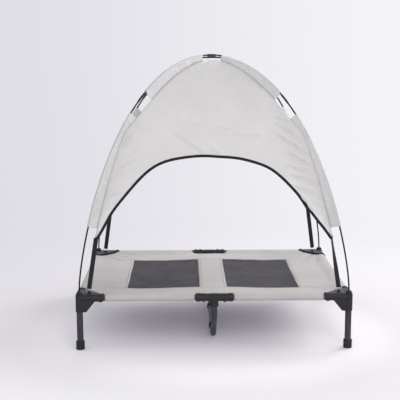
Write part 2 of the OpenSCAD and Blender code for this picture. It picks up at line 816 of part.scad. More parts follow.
// The sleeve wraps the pole and its two layers run in to the ridge
function fin_ring(t, lift) =
    let (
        p = curve_point(pole_curve(lift), t),
        seam = ridge_point(ridge_under(p, unit(curve_slope(pole_curve(lift), t)))),
        inward = unit(seam - p),
        reach = norm(seam - p) - seam_gap,
        gap = 0.2,
        outer = fin_channel + fin_t,
        arc_out = [for (a = [135 : -45 : -135]) outer * [-cos(a), sin(a)]],
        arc_in = [for (a = [-135 : 45 : 135]) fin_channel * [-cos(a), sin(a)]],
        section = concat(
            [[reach, gap + fin_t], [outer + 2.5, gap + fin_t]], arc_out,
            [[outer + 2.5, -gap - fin_t], [reach, -gap - fin_t], [reach, -gap], [outer + 2, -gap]], arc_in,
            [[outer + 2, gap], [reach, gap]]
        )
    )
    [for (q = section) [p[0] + q[0] * inward[0], q[1], p[1] + q[0] * inward[1]]];

module sleeve_strip(from, to, lift) {
    skin([for (i = [0 : fin_steps]) fin_ring(from + (to - from) * i / fin_steps, lift)]);
}

module ridge_sleeve(lift) {
    sleeve_strip(pole_at_height(risen(fin_start_share)), pole_at_height(risen(fin_pause_share)), lift);
    sleeve_strip(pole_at_height(risen(fin_resume_share)), 1 - fin_end / (3 * pole_crown), lift);
}

module place_sleeve(turn, lift) {
    color([0.87, 0.86, 0.86]) rotate([0, 0, turn]) ridge_sleeve(lift);
}

module ridge_sleeve_fl() { place_sleeve(180 + diagonal_angle, crossing_lift); }
module ridge_sleeve_rr() { place_sleeve(diagonal_angle, crossing_lift); }
module ridge_sleeve_fr() { place_sleeve(-diagonal_angle, -crossing_lift); }
module ridge_sleeve_rl() { place_sleeve(180 - diagonal_angle, -crossing_lift); }

// ---- corner straps ----

// A strap hangs from the canopy's tip to just above the ring
module place_strap(side_x, side_y, twist) {
    steps = 8;
    low = [ring_x, ring_y, ring_z + ring_h + ring_wire / 2 + soft_gap];
    high = [(tip_out - 6) * along_x, (tip_out - 6) * along_y, tip_z - soft_gap];
    rings = [for (i = [0 : steps])
        let (c = low + (high - low) * i / steps, a = twist * i / steps)
        [for (q = [[-1, -1], [1, -1], [1, 1], [-1, 1]])
            let (w = q[0] * strap_w / 2, h = q[1] * strap_t / 2)
            [c[0] + w * cos(a) - h * sin(a), c[1] + w * sin(a) + h * cos(a), c[2]]]];
    color([0.15, 0.15, 0.17]) at_corner(side_x, side_y) skin(rings);
}

module strap_fl() { place_strap(-1, -1, 0); }
module strap_fr() { place_strap(1, -1, strap_twist); }
module strap_rl() { place_strap(-1, 1, 0); }
module strap_rr() { place_strap(1, 1, 0); }

corner_bracket_fl();
corner_bracket_fr();
corner_bracket_rl();
corner_bracket_rr();
leg_fl();
leg_fr();
leg_rl();
leg_rr();
foot_cap_fl();
foot_cap_fr();
foot_cap_rl();
foot_cap_rr();
front_rail_left();
front_rail_right();
rear_rail_left();
rear_rail_right();
side_rail_left();
side_rail_right();
centre_bracket_front();
centre_bracket_rear();
centre_bolts();
centre_nuts();
centre_support();
support_pads();
bed_fabric();
mesh_window_left();
mesh_window_right();
strap_ring_fl();
strap_ring_fr();
strap_ring_rl();
strap_ring_rr();
pole_over();
pole_under();
pole_tips();
ferrules_over();
ferrules_under();
canopy_front();
canopy_rear();
canopy_left();
canopy_right();
binding_front();
binding_rear();
binding_left();
binding_right();
ridge_sleeve_fl();
ridge_sleeve_fr();
ridge_sleeve_rl();
ridge_sleeve_rr();
strap_fl();
strap_fr();
strap_rl();
strap_rr();
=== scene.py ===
# %% [markdown]
# # Raised dog bed with a domed canopy
# The bed is a fabric sheet hung between steel tubes, with moulded brackets at
# the corners and at the middle of each long side. Two thin poles cross over
# it and hold up a light cloth canopy. The measured frame comes from the
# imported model, so rigid pieces keep their shape and only get a finish, while
# everything sewn is made again here as real cloth.

# %% Load the measured frame
import math
import bmesh
import bpy
import numpy as np
from mathutils import Matrix, Vector
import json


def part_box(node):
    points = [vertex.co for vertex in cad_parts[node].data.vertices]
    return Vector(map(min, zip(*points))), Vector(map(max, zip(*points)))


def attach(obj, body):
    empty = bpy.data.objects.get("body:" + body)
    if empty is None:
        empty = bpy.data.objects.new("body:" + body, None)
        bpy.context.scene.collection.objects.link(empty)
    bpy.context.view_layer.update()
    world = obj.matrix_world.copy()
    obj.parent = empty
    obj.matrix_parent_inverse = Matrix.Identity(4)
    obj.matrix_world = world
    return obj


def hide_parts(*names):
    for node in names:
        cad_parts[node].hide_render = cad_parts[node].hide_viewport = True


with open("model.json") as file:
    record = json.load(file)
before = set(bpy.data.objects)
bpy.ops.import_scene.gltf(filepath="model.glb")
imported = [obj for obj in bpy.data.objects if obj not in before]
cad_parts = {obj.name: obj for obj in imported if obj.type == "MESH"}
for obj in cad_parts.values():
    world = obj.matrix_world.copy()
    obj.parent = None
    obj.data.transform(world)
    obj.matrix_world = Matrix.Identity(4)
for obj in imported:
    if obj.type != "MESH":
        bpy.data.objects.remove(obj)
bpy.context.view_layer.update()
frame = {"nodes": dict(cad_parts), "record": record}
CORNERS = {"fl": (-1, -1), "fr": (1, -1), "rl": (-1, 1), "rr": (1, 1)}
print("nodes:", len(frame["nodes"]))

# %% [markdown]
# ## The camera
# The view is from the front, a little to the left of the middle, about
# four metres off and just at the height of the canopy's crown. A long lens
# keeps the legs nearly upright. The direction is built from three small
# turns, because that says more than a matrix of nine numbers.

# %% Camera
def turn(degrees, axis):
    return Matrix.Rotation(math.radians(degrees), 4, axis)

CAMERA_PLACE = (-0.122, -4.174, 1.276)
LENS_MM, SENSOR_MM = 79.24, 36
AIM, TILT, ROLL = -0.916, -9.314, 0.09

camera_data = bpy.data.cameras.new("camera")
camera_data.lens = LENS_MM
camera_data.sensor_width = SENSOR_MM
camera = bpy.data.objects.new("camera", camera_data)
bpy.context.scene.collection.objects.link(camera)
camera.matrix_world = (Matrix.Translation(CAMERA_PLACE)
                       @ turn(AIM, "Z") @ turn(TILT, "X")
                       @ turn(ROLL, "Y") @ turn(90, "X"))
bpy.context.scene.camera = camera
print("camera at", tuple(round(v, 3) for v in camera.location))

# %% [markdown]
# ## Writing finishes as sums
# A finish in Blender is a web of nodes. Placing each node by hand is slow to
# read, so one small class wraps a socket: adding or multiplying two of them
# adds the Math node that does it. A table says which sign of Python makes
# which kind of node. A second class holds one material and has a single
# method that makes any node. After this, a finish reads as a formula.

# %% Sockets that can be added and multiplied
class Wire:
    def __init__(self, finish, socket):
        self.finish = finish
        self.socket = socket

    def math(self, kind, *others):
        return self.finish.node("ShaderNodeMath", {"operation": kind}, self, *others)

    def __rsub__(self, other):
        return self.finish.node("ShaderNodeMath", {"operation": "SUBTRACT"}, other, self)

    def __abs__(self):
        return self.math("ABSOLUTE")

    def sin(self):
        return self.math("SINE")

    def other(self, label):
        return Wire(self.finish, self.socket.node.outputs[label])

    def fade(self, low, high):
        settings = {"interpolation_type": "SMOOTHSTEP"}
        return self.finish.node("ShaderNodeMapRange", settings, self, low, high, 0.0, 1.0)

def joined(kind):
    return lambda self, other: self.math(kind, other)

METHODS = {"__add__": "ADD", "__radd__": "ADD", "__sub__": "SUBTRACT",
           "__mul__": "MULTIPLY", "__rmul__": "MULTIPLY", "__truediv__": "DIVIDE",
           "__gt__": "GREATER_THAN", "__lt__": "LESS_THAN",
           "most": "MAXIMUM", "least": "MINIMUM"}
for method, kind in METHODS.items():
    setattr(Wire, method, joined(kind))
print("sockets can be written as sums, with", len(set(METHODS.values())), "kinds of node")

# %% One material and its nodes
class Finish:
    def __init__(self, name, **fixed):
        self.material = bpy.data.materials.new(name)
        self.material.use_nodes = True
        self.tree = self.material.node_tree
        self.shell = self.tree.nodes["Principled BSDF"]
        for words, value in fixed.items():
            self.feed(self.shell.inputs[words.replace("_", " ")], value)

    def feed(self, socket, value):
        if isinstance(value, Wire):
            self.tree.links.new(value.socket, socket)
        else:
            socket.default_value = value

    def node(self, kind, settings=None, *values, out=0, **named):
        made = self.tree.nodes.new(kind)
        for key, value in (settings or {}).items():
            setattr(made, key, value)
        for end, value in list(enumerate(values)) + list(named.items()):
            self.feed(made.inputs[end], value)
        return Wire(self, made.outputs[out])

    def place(self):
        return self.node("ShaderNodeTexCoord", out=3)

    def cloth_place(self):
        return self.node("ShaderNodeTexCoord", out=2)

    def split(self, vector):
        made = self.node("ShaderNodeSeparateXYZ", None, vector).socket.node
        return [Wire(self, made.outputs[k]) for k in range(3)]

    def noise(self, vector, scale, detail=2.0, roughness=0.5):
        return self.node("ShaderNodeTexNoise", None, Vector=vector, Scale=scale,
                         Detail=detail, Roughness=roughness)

    def stretched(self, vector, x, y, z):
        return self.node("ShaderNodeVectorMath", {"operation": "MULTIPLY"}, vector, (x, y, z))

    def mixed(self, share, first, second):
        settings = {"data_type": "RGBA"}
        made = self.node("ShaderNodeMix", settings, share, out=2)
        for end, value in ((6, first), (7, second)):
            colour = value if isinstance(value, Wire) else (*value, 1.0)
            self.feed(made.socket.node.inputs[end], colour)
        return made

    def bumped(self, height, distance, under=None):
        ends = {"Height": height, "Distance": distance, "Strength": 1.0}
        if under is not None:
            ends["Normal"] = under
        return self.node("ShaderNodeBump", None, **ends)

    def finish(self, colour=None, roughness=None, normal=None):
        for end, value in (("Base Color", colour), ("Roughness", roughness), ("Normal", normal)):
            if value is not None:
                self.feed(self.shell.inputs[end], value)
        return self.material

print("materials are made from one class")

# %% [markdown]
# ## Threads
# Cloth needs three things at the scale of its threads: the over and under of
# the weave, the line of stitches along a seam, and slow changes of tone. Each
# is a small formula on a position in metres, so it can be used again on the
# canopy, the sheet and the tapes at their own thread sizes.

# %% Weave, stitches and tone
CANOPY_THREAD, SHEET_THREAD, TAPE_CORD = 0.0009, 0.0013, 0.0016

def weave(finish, across, along, pitch):
    one = (across * (math.pi / pitch)).sin()
    two = (along * (math.pi / pitch)).sin()
    over = one * two > 0.0
    return over * abs(one) + (1 - over) * abs(two)

def stitches(across, along, pitch=0.0032, thread=0.0007):
    dash = (along / pitch).math("FRACT") < 0.72
    return dash * (abs(across) < thread / 2)

def scaled(colour, share):
    return tuple(share * c for c in colour)

def tone(finish, place, scale, light, dark, detail=3.0):
    share = finish.noise(place, scale, detail).fade(0.35, 0.65)
    return finish.mixed(share, dark, light)

print("weave, stitches and tone are ready")

# %% [markdown]
# ## Finishes of the rigid parts
# The tubes are powder coated, which leaves a skin like fine orange peel. The
# brackets are moulded nylon with a dull grain. The poles are smooth
# fibreglass, the caps are rubber, and the small metal parts are plated. All
# are nearly black, so what tells them apart is how sharply they shine and how
# fine their grain is, and each gets its own roughness and relief.

# %% Powder coat, nylon and rubber
def speckled(name, light, dark, rough, grain, depth, shine=0.3, patch=9.0):
    coat = Finish(name, Specular_IOR_Level=shine)
    place = coat.place()
    fine = coat.noise(place, grain, 3.0, 0.6)
    worn = coat.noise(place, patch, 4.0, 0.55)
    colour = coat.mixed(worn.fade(0.3, 0.75), dark, light)
    roughness = rough + 0.14 * (worn - 0.5) + 0.08 * (fine - 0.5)
    return coat.finish(colour, roughness, coat.bumped(fine, depth))

powder_coat = speckled("powder_coat", (0.044, 0.040, 0.053), (0.034, 0.031, 0.042),
                       0.42, 900.0, 0.00012)
nylon = speckled("moulded_nylon", (0.019, 0.017, 0.022), (0.013, 0.012, 0.015),
                 0.55, 1500.0, 0.00016)
rubber = speckled("rubber", (0.030, 0.028, 0.033), (0.016, 0.015, 0.018),
                  0.74, 700.0, 0.00020, patch=30.0)
fibreglass = speckled("fibreglass", (0.016, 0.015, 0.018), (0.011, 0.010, 0.012),
                      0.42, 1200.0, 0.00004, shine=0.12)
black_ferrule = speckled("black_ferrule", (0.026, 0.025, 0.030), (0.018, 0.017, 0.021),
                         0.42, 1500.0, 0.00006, shine=0.15)
print("five dark finishes made")

# %% Plated steel
def plated(name, colour, rough, streak):
    metal = Finish(name, Metallic=1.0)
    place = metal.place()
    lines = metal.noise(metal.stretched(place, 1.0, 1.0, 0.12), streak, 3.0, 0.6)
    dull = metal.noise(place, 60.0, 3.0)
    shade = metal.mixed(dull.fade(0.4, 0.7), scaled(colour, 0.72), colour)
    roughness = rough + 0.16 * (lines - 0.5) + 0.10 * (dull - 0.5)
    return metal.finish(shade, roughness, metal.bumped(lines, 0.00005))

zinc = plated("zinc_plate", (0.42, 0.42, 0.43), 0.42, 1800.0)
bright_wire = plated("bright_wire", (0.74, 0.74, 0.75), 0.22, 2600.0)
print("two plated finishes made")

# %% Give the rigid nodes their finishes
FINISH_OF_SLOT = {
    "steel_tube": powder_coat, "bracket_plastic": nylon, "rubber": rubber,
    "bolt_steel": zinc, "ring_steel": bright_wire, "pole": fibreglass,
    "ferrule": black_ferrule,
}

def finish_nodes():
    done = 0
    for part in frame["record"]["subparts"]:
        made = FINISH_OF_SLOT.get(part["material_slot"])
        if made is None:
            continue
        mesh = frame["nodes"][part["node"]].data
        if len(mesh.materials) == 0:
            mesh.materials.append(made)
        for k in range(len(mesh.materials)):
            mesh.materials[k] = made
        done += 1
    return done

print("rigid nodes finished:", finish_nodes())

# %% [markdown]
# ## Finishes of the cloth
# The canopy is a thin coated polyester with a fine plain weave, pulled into
# small gathers where it is sewn to the pole sleeves. The gathers are too fine
# for the mesh, so they are relief in the finish: noise stretched across the
# seam, which fades with the distance from it. For that the mesh carries a
# second map, with the length along the seam and the distance from it. Light
# passes through the single layer of the cover and hardly through the doubled
# sleeves. The valley of each seam is painted darker, as painted shade, and on
# the sleeves the pole is painted as a darker line along the fold, a painted
# shadow. The sleeve cloth is also painted darker than the cover, as painted
# shade on the same cloth.

# %% Canopy cloth
def canopy_cloth(name, light, dark, gather, through, depth, pole_shade):
    cloth = Finish(name, Sheen_Weight=0.15, Sheen_Roughness=0.5, Specular_IOR_Level=0.5,
                   Subsurface_Weight=through, Subsurface_Radius=(depth, depth, depth),
                   Subsurface_Scale=1.0)
    across, along, _ = cloth.split(cloth.cloth_place())
    seam_map = cloth.node("ShaderNodeUVMap", {"uv_map": "seam"})
    seam_along, seam_off, _ = cloth.split(seam_map)
    near = 1 - seam_off.fade(0.004, 0.075)
    streaks = cloth.noise(cloth.stretched(seam_map, 1.0, 0.16, 1.0), 95.0, 2.0, 0.5)
    crumple = cloth.noise(cloth.cloth_place(), 34.0, 3.0, 0.55)
    threads = weave(cloth, across, along, CANOPY_THREAD)
    slubs = cloth.noise(cloth.stretched(cloth.cloth_place(), 1.0, 0.04, 1.0), 420.0, 2.0)
    sewn = stitches(seam_off - 0.004, seam_along) + stitches(seam_off - 0.0105, seam_along)
    sewn = sewn.least(1.0)
    colour = tone(cloth, cloth.cloth_place(), 5.0, light, dark)
    colour = cloth.mixed(0.35 * slubs.fade(0.5, 0.8), colour, scaled(dark, 0.9))
    colour = cloth.mixed(0.5 * sewn, colour, scaled(dark, 0.62))
    # Painted shade: the valley along each seam is painted darker.
    seam_shade = 1 - seam_off.fade(0.0016, 0.0042)
    # Painted shadow: on the sleeves the pole is painted as a darker line along the fold.
    pole_shade_line = pole_shade * (1 - abs(across).fade(0.0035, 0.0085))
    colour = cloth.mixed(0.36 * seam_shade, colour, scaled(dark, 0.45))
    colour = cloth.mixed(pole_shade_line, colour, scaled(dark, 0.30))
    height = gather * near * streaks + 0.10 * crumple
    folds = cloth.bumped(height, 0.0045)
    fine = cloth.bumped(threads + 0.6 * slubs + 1.4 * sewn, 0.00012, folds)
    return cloth.finish(colour, 0.46 + 0.16 * (crumple - 0.5), fine)

canopy_fabric = canopy_cloth("canopy_cloth", (0.880, 0.862, 0.850), (0.828, 0.811, 0.804),
                             gather=1.1, through=1.0, depth=0.012, pole_shade=0.0)
# Painted shade: the sleeves take the same cloth as the cover, painted darker.
shaded_sleeve_fabric = canopy_cloth("sleeve_cloth_painted_shade", (0.680, 0.673, 0.675), (0.625, 0.618, 0.622),
                             gather=1.5, through=0.3, depth=0.002, pole_shade=0.42)
print("canopy cloth made")

# %% [markdown]
# The sleeping sheet is a heavier oxford weave in a warmer grey. Its seams
# are straight lines across the bed that bend out to the corners, so they are
# drawn from the position on the bed, and so are the rows of stitches round
# the two windows.

# %% Sheet cloth
SEAM_Y = 0.275
WINDOW_IN, WINDOW_OUT = 0.062, 0.391
SLANT_FROM, SLANT = 0.49, 1.5
HEM_X, HEM_Y = 0.548, 0.398

def sheet_cloth():
    cloth = Finish("sheet_cloth", Sheen_Weight=0.08, Specular_IOR_Level=0.2)
    place = cloth.place()
    x, y, _ = cloth.split(place)
    out_x, out_y = abs(x), abs(y)
    bend = (out_x - SLANT_FROM).most(0.0)
    seam = out_y - SEAM_Y - SLANT * bend
    window = abs(out_x - (WINDOW_IN + WINDOW_OUT) / 2) - (WINDOW_OUT - WINDOW_IN) / 2
    window = window.most(out_y - SEAM_Y)
    hem = (out_x - HEM_X).most(out_y - HEM_Y)
    rows = stitches(seam - 0.004, x) + stitches(seam + 0.004, x)
    rows = rows + stitches(window - 0.005, x + y) + stitches(hem, x + y)
    sewn = rows.least(1.0)
    # Painted shade: this mask paints the seams and a line beside each window edge darker, for the
    # shade in their folds.
    fold = (1 - abs(seam).fade(0.0016, 0.0056)).most(1 - abs(window - 0.011).fade(0.0006, 0.0026))
    threads = weave(cloth, x, y, SHEET_THREAD)
    slubs = cloth.noise(cloth.stretched(place, 0.05, 1.0, 1.0), 320.0, 2.0)
    pull = cloth.noise(cloth.stretched(place, 1.0, 0.35, 1.0), 22.0, 3.0)
    colour = tone(cloth, place, 4.0, (0.500, 0.481, 0.478), (0.458, 0.443, 0.443))
    colour = cloth.mixed(0.3 * slubs.fade(0.5, 0.8), colour, (0.47, 0.45, 0.445))
    colour = cloth.mixed(0.62 * fold, colour, (0.28, 0.268, 0.268))
    colour = cloth.mixed(0.5 * sewn, colour, (0.38, 0.365, 0.365))
    relief = cloth.bumped(0.12 * pull - 0.5 * fold, 0.0025)
    fine = cloth.bumped(threads + 0.5 * slubs + 1.2 * sewn, 0.00018, relief)
    return cloth.finish(colour, 0.72 + 0.1 * (pull - 0.5), fine)

sheet_fabric = sheet_cloth()
print("sheet cloth made")

# %% [markdown]
# The windows are an open mesh, knitted with rows of small eyes. From any
# distance the eyes only darken it, so each eye is a dimple painted dark in the
# finish, painted shade for the shadow seen through a hole. True holes would
# cost a great deal of light sampling and show almost nothing.

# %% Window mesh
EYE_PITCH = 0.0026

def window_mesh():
    net = Finish("window_mesh", Specular_IOR_Level=0.12)
    place = net.place()
    x, y, _ = net.split(place)
    shift = (y / (EYE_PITCH * 1.8)).math("FLOOR") * 0.5
    column = (x / EYE_PITCH + shift).math("FRACT") - 0.5
    row = (y / (EYE_PITCH * 0.9)).math("FRACT") - 0.5
    eye_shade = 1 - (column * column + row * row).fade(0.05, 0.13)
    cloudy = net.noise(place, 12.0, 3.0)
    colour = net.mixed(cloudy.fade(0.3, 0.7), (0.050, 0.047, 0.058), (0.078, 0.074, 0.088))
    # Painted shade: each eye is painted dark for the shadow seen through its hole.
    colour = net.mixed(eye_shade, colour, (0.018, 0.017, 0.020))
    ripple = net.bumped(net.noise(place, 30.0, 2.0), 0.0012)
    return net.finish(colour, 0.66 + 0.1 * (cloudy - 0.5), net.bumped(1 - eye_shade, 0.0004, ripple))

mesh_fabric = window_mesh()
print("window mesh made")

# %% [markdown]
# The arches are bound with a ribbed tape, and the straps are flat webbing.
# Both are black. Their ribs run square to their length, so each tape carries
# a map with its width and its length, and the ribs are waves on that map.

# %% Tape and webbing
def ribbed(name, light, dark, rib, half_width):
    tape = Finish(name, Sheen_Weight=0.04, Specular_IOR_Level=0.2)
    across, along, _ = tape.split(tape.cloth_place())
    ribs = abs((along * (math.pi / rib)).sin())
    cords = abs((across * (math.pi / TAPE_CORD)).sin())
    off = abs(across) - (half_width - 0.0017)
    sewn = stitches(off, along, 0.0036, 0.0008)
    fuzz = tape.noise(tape.place(), 700.0, 2.0)
    share = 0.6 * ribs + 0.4 * fuzz
    colour = tape.mixed(share, dark, light)
    # Painted highlight: the stitches are painted lighter than the tape.
    colour = tape.mixed(0.7 * sewn, colour, scaled(light, 2.1))
    height = 0.7 * ribs + 0.3 * cords + 0.9 * sewn
    return tape.finish(colour, 0.66 + 0.2 * (fuzz - 0.5), tape.bumped(height, 0.00028))

binding_tape = ribbed("ribbed_tape", (0.018, 0.017, 0.021), (0.008, 0.0075, 0.009), 0.0011, 0.00625)
webbing = ribbed("flat_webbing", (0.022, 0.021, 0.025), (0.010, 0.0095, 0.011), 0.0019, 0.0100)
print("tape and webbing made")

# %% [markdown]
# ## The lines that carry the canopy
# Everything sewn hangs on two curves in the diagonal planes: the bent pole,
# and the ridge seam a little inside it. Both are Bezier curves through the
# same few measures as the solid model, written here in metres. A curve is
# sampled once, and then any point on it is found by its length.

# %% Curves by length
def bezier(points, steps=160):
    t = np.linspace(0.0, 1.0, steps + 1)[:, None]
    p = np.array(points, dtype=float)
    return ((1 - t) ** 3 * p[0] + 3 * (1 - t) ** 2 * t * p[1]
            + 3 * (1 - t) * t ** 2 * p[2] + t ** 3 * p[3])

class Line:
    """A sampled line that gives a point at any share of its length."""
    def __init__(self, points):
        self.points = np.array(points, dtype=float)
        steps = np.linalg.norm(np.diff(self.points, axis=0), axis=1)
        self.lengths = np.concatenate([[0.0], np.cumsum(steps)])
        self.length = self.lengths[-1]

    def at(self, share):
        place = np.asarray(share, dtype=float) * self.length
        return np.stack([np.interp(place, self.lengths, self.points[:, k])
                         for k in range(self.points.shape[1])], -1)

leg_low, leg_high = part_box("leg_rr")
LEG_X = (leg_low[0] + leg_high[0]) / 2
LEG_Y = (leg_low[1] + leg_high[1]) / 2
DIAGONAL = math.hypot(LEG_X, LEG_Y)
ALONG_X, ALONG_Y = LEG_X / DIAGONAL, LEG_Y / DIAGONAL
print("leg axes at", round(LEG_X, 4), round(LEG_Y, 4))

# %% Pole, ridge and arch
ROD_FOOT, POLE_TOP, POLE_CROWN = 0.264, 1.274, 0.5555
CROSSING_LIFT = 0.00485

def risen(share):
    return ROD_FOOT + share * (POLE_TOP - ROD_FOOT)

def pole_points(lift):
    return bezier([(DIAGONAL, ROD_FOOT), (DIAGONAL, risen(0.1422)),
                   (POLE_CROWN, POLE_TOP + lift), (0.0, POLE_TOP + lift)], 240)

pole_middle = pole_points(0.0)

def pole_out(z):
    return float(np.interp(z, pole_middle[:, 1], pole_middle[:, 0]))

TIP_UP, TIP_IN = 0.2226, 0.0465
KNEE_UP, KNEE_IN, KNEE_ANGLE = 0.6909, 0.0283, math.radians(36.7)
TIP_LEAN, KNEE_BELOW, KNEE_ABOVE, CROWN_EASE = (-0.3, 0.95), 1.42, 1.47, 0.372

tip = np.array([pole_out(risen(TIP_UP)) - TIP_IN, risen(TIP_UP)])
knee = np.array([pole_out(risen(KNEE_UP)) - KNEE_IN, risen(KNEE_UP)])
knee_dir = np.array([-math.cos(KNEE_ANGLE), math.sin(KNEE_ANGLE)])
wall_step = np.linalg.norm(knee - tip) / 10
ROOF_Z = POLE_TOP - 0.016
wall = bezier([tip, tip + wall_step * np.array(TIP_LEAN),
               knee - KNEE_BELOW * wall_step * knee_dir, knee])
roof = bezier([knee, knee + KNEE_ABOVE * wall_step * knee_dir,
               (CROWN_EASE * POLE_CROWN, ROOF_Z), (0.0, ROOF_Z)])
ridge = Line(np.concatenate([wall, roof[1:]])[::-1])

ARCH_TOP, ARCH_FOOT = risen(0.5733), tip[1] - 0.012
ARCH_HALF = tip[0] * ALONG_X - 0.003
ARCH_TOP_EASE, ARCH_SIDE_EASE, ARCH_SIDE_UP = 0.579, 0.8456, 0.3114
arch_side_z = ARCH_FOOT + (ARCH_TOP - ARCH_FOOT) * ARCH_SIDE_UP
arch = Line(bezier([(0.0, ARCH_TOP), (ARCH_HALF * ARCH_TOP_EASE, ARCH_TOP),
                    (ARCH_HALF * ARCH_SIDE_EASE, arch_side_z), (ARCH_HALF, ARCH_FOOT)]))
print("ridge is", round(ridge.length, 3), "m and half the arch", round(arch.length, 3), "m long")

# %% [markdown]
# ## The canopy
# The real canopy is four panels of thin cloth sewn along the ridges. Each
# panel curves only one way: at any height it runs level from ridge to ridge.
# That makes it easy to build as one net. Ribs run from the arch up to
# the ridge, evenly spaced along both, and each point takes its depth from the
# ridge at its height. The four nets share their points on the ridges, so the
# whole cover is one sheet.

# %% Where a panel's surface is
ridge_up = ridge.points[::-1]

def ridge_out(z):
    return np.interp(z, ridge_up[:, 1], ridge_up[:, 0])

slope_lengths = np.concatenate([[0.0], np.cumsum(np.hypot(
    np.diff(ridge_up[:, 0]), np.diff(ridge_up[:, 1])))])

PANELS = {
    "front": {"across": (1, 0), "out": (0, -1), "wide": ALONG_X, "deep": ALONG_Y},
    "rear": {"across": (-1, 0), "out": (0, 1), "wide": ALONG_X, "deep": ALONG_Y},
    "left": {"across": (0, -1), "out": (-1, 0), "wide": ALONG_Y, "deep": ALONG_X},
    "right": {"across": (0, 1), "out": (1, 0), "wide": ALONG_Y, "deep": ALONG_X},
}

LEAN_STEP = 0.002

def on_panel(panel, c, z):
    """Point and outward normal at this place across and this height of a panel."""
    above = np.minimum(z + LEAN_STEP, ROOF_Z)
    d = ridge_out(z) * panel["deep"]
    low, high = ridge_out(z - LEAN_STEP) * panel["deep"], ridge_out(above) * panel["deep"]
    rise = above - z + LEAN_STEP
    lean = np.stack([rise, low - high], -1)
    lean /= np.linalg.norm(lean, axis=-1, keepdims=True)
    across, out = np.array(panel["across"]), np.array(panel["out"])
    xy = c[..., None] * across + d[..., None] * out
    point = np.concatenate([xy, z[..., None]], -1)
    normal = np.concatenate([lean[..., :1] * out, lean[..., 1:]], -1)
    return point, normal

print("surface heights run from", round(float(tip[1]), 3), "to", ROOF_Z)

# %% [markdown]
# Cloth that is stretched between a curved seam and an arch shows where it is
# pulled: long soft folds in the middle, short ones square to the seam, and
# level creases under the crown. Each fold is written as a line across the
# panel with a width and a height, and its relief fades out at its ends. A
# simulation would give folds somewhere else, and these have places of their
# own.

# %% Folds of the cloth
FOLD_DEPTH = 1.8

def fold(c, z, *row):
    """Relief of one fold. Its row says where it starts and ends, its width and its height."""
    start, end, (width, height) = np.array(row[:2]), np.array(row[2:4]), row[4:]
    way = end - start
    size = np.linalg.norm(way)
    way = way / size
    along = ((c - start[0]) * way[0] + (z - start[1]) * way[1]) / size
    off = ((c - start[0]) * -way[1] + (z - start[1]) * way[0]) / width
    taper = np.clip(along * 4, 0, 1) * np.clip((1 - along) * 4, 0, 1)
    taper = taper * taper * (3 - 2 * taper)
    return FOLD_DEPTH * height * taper * (np.exp(-off ** 2) - 0.55 * np.exp(-(off - 1.7) ** 2))

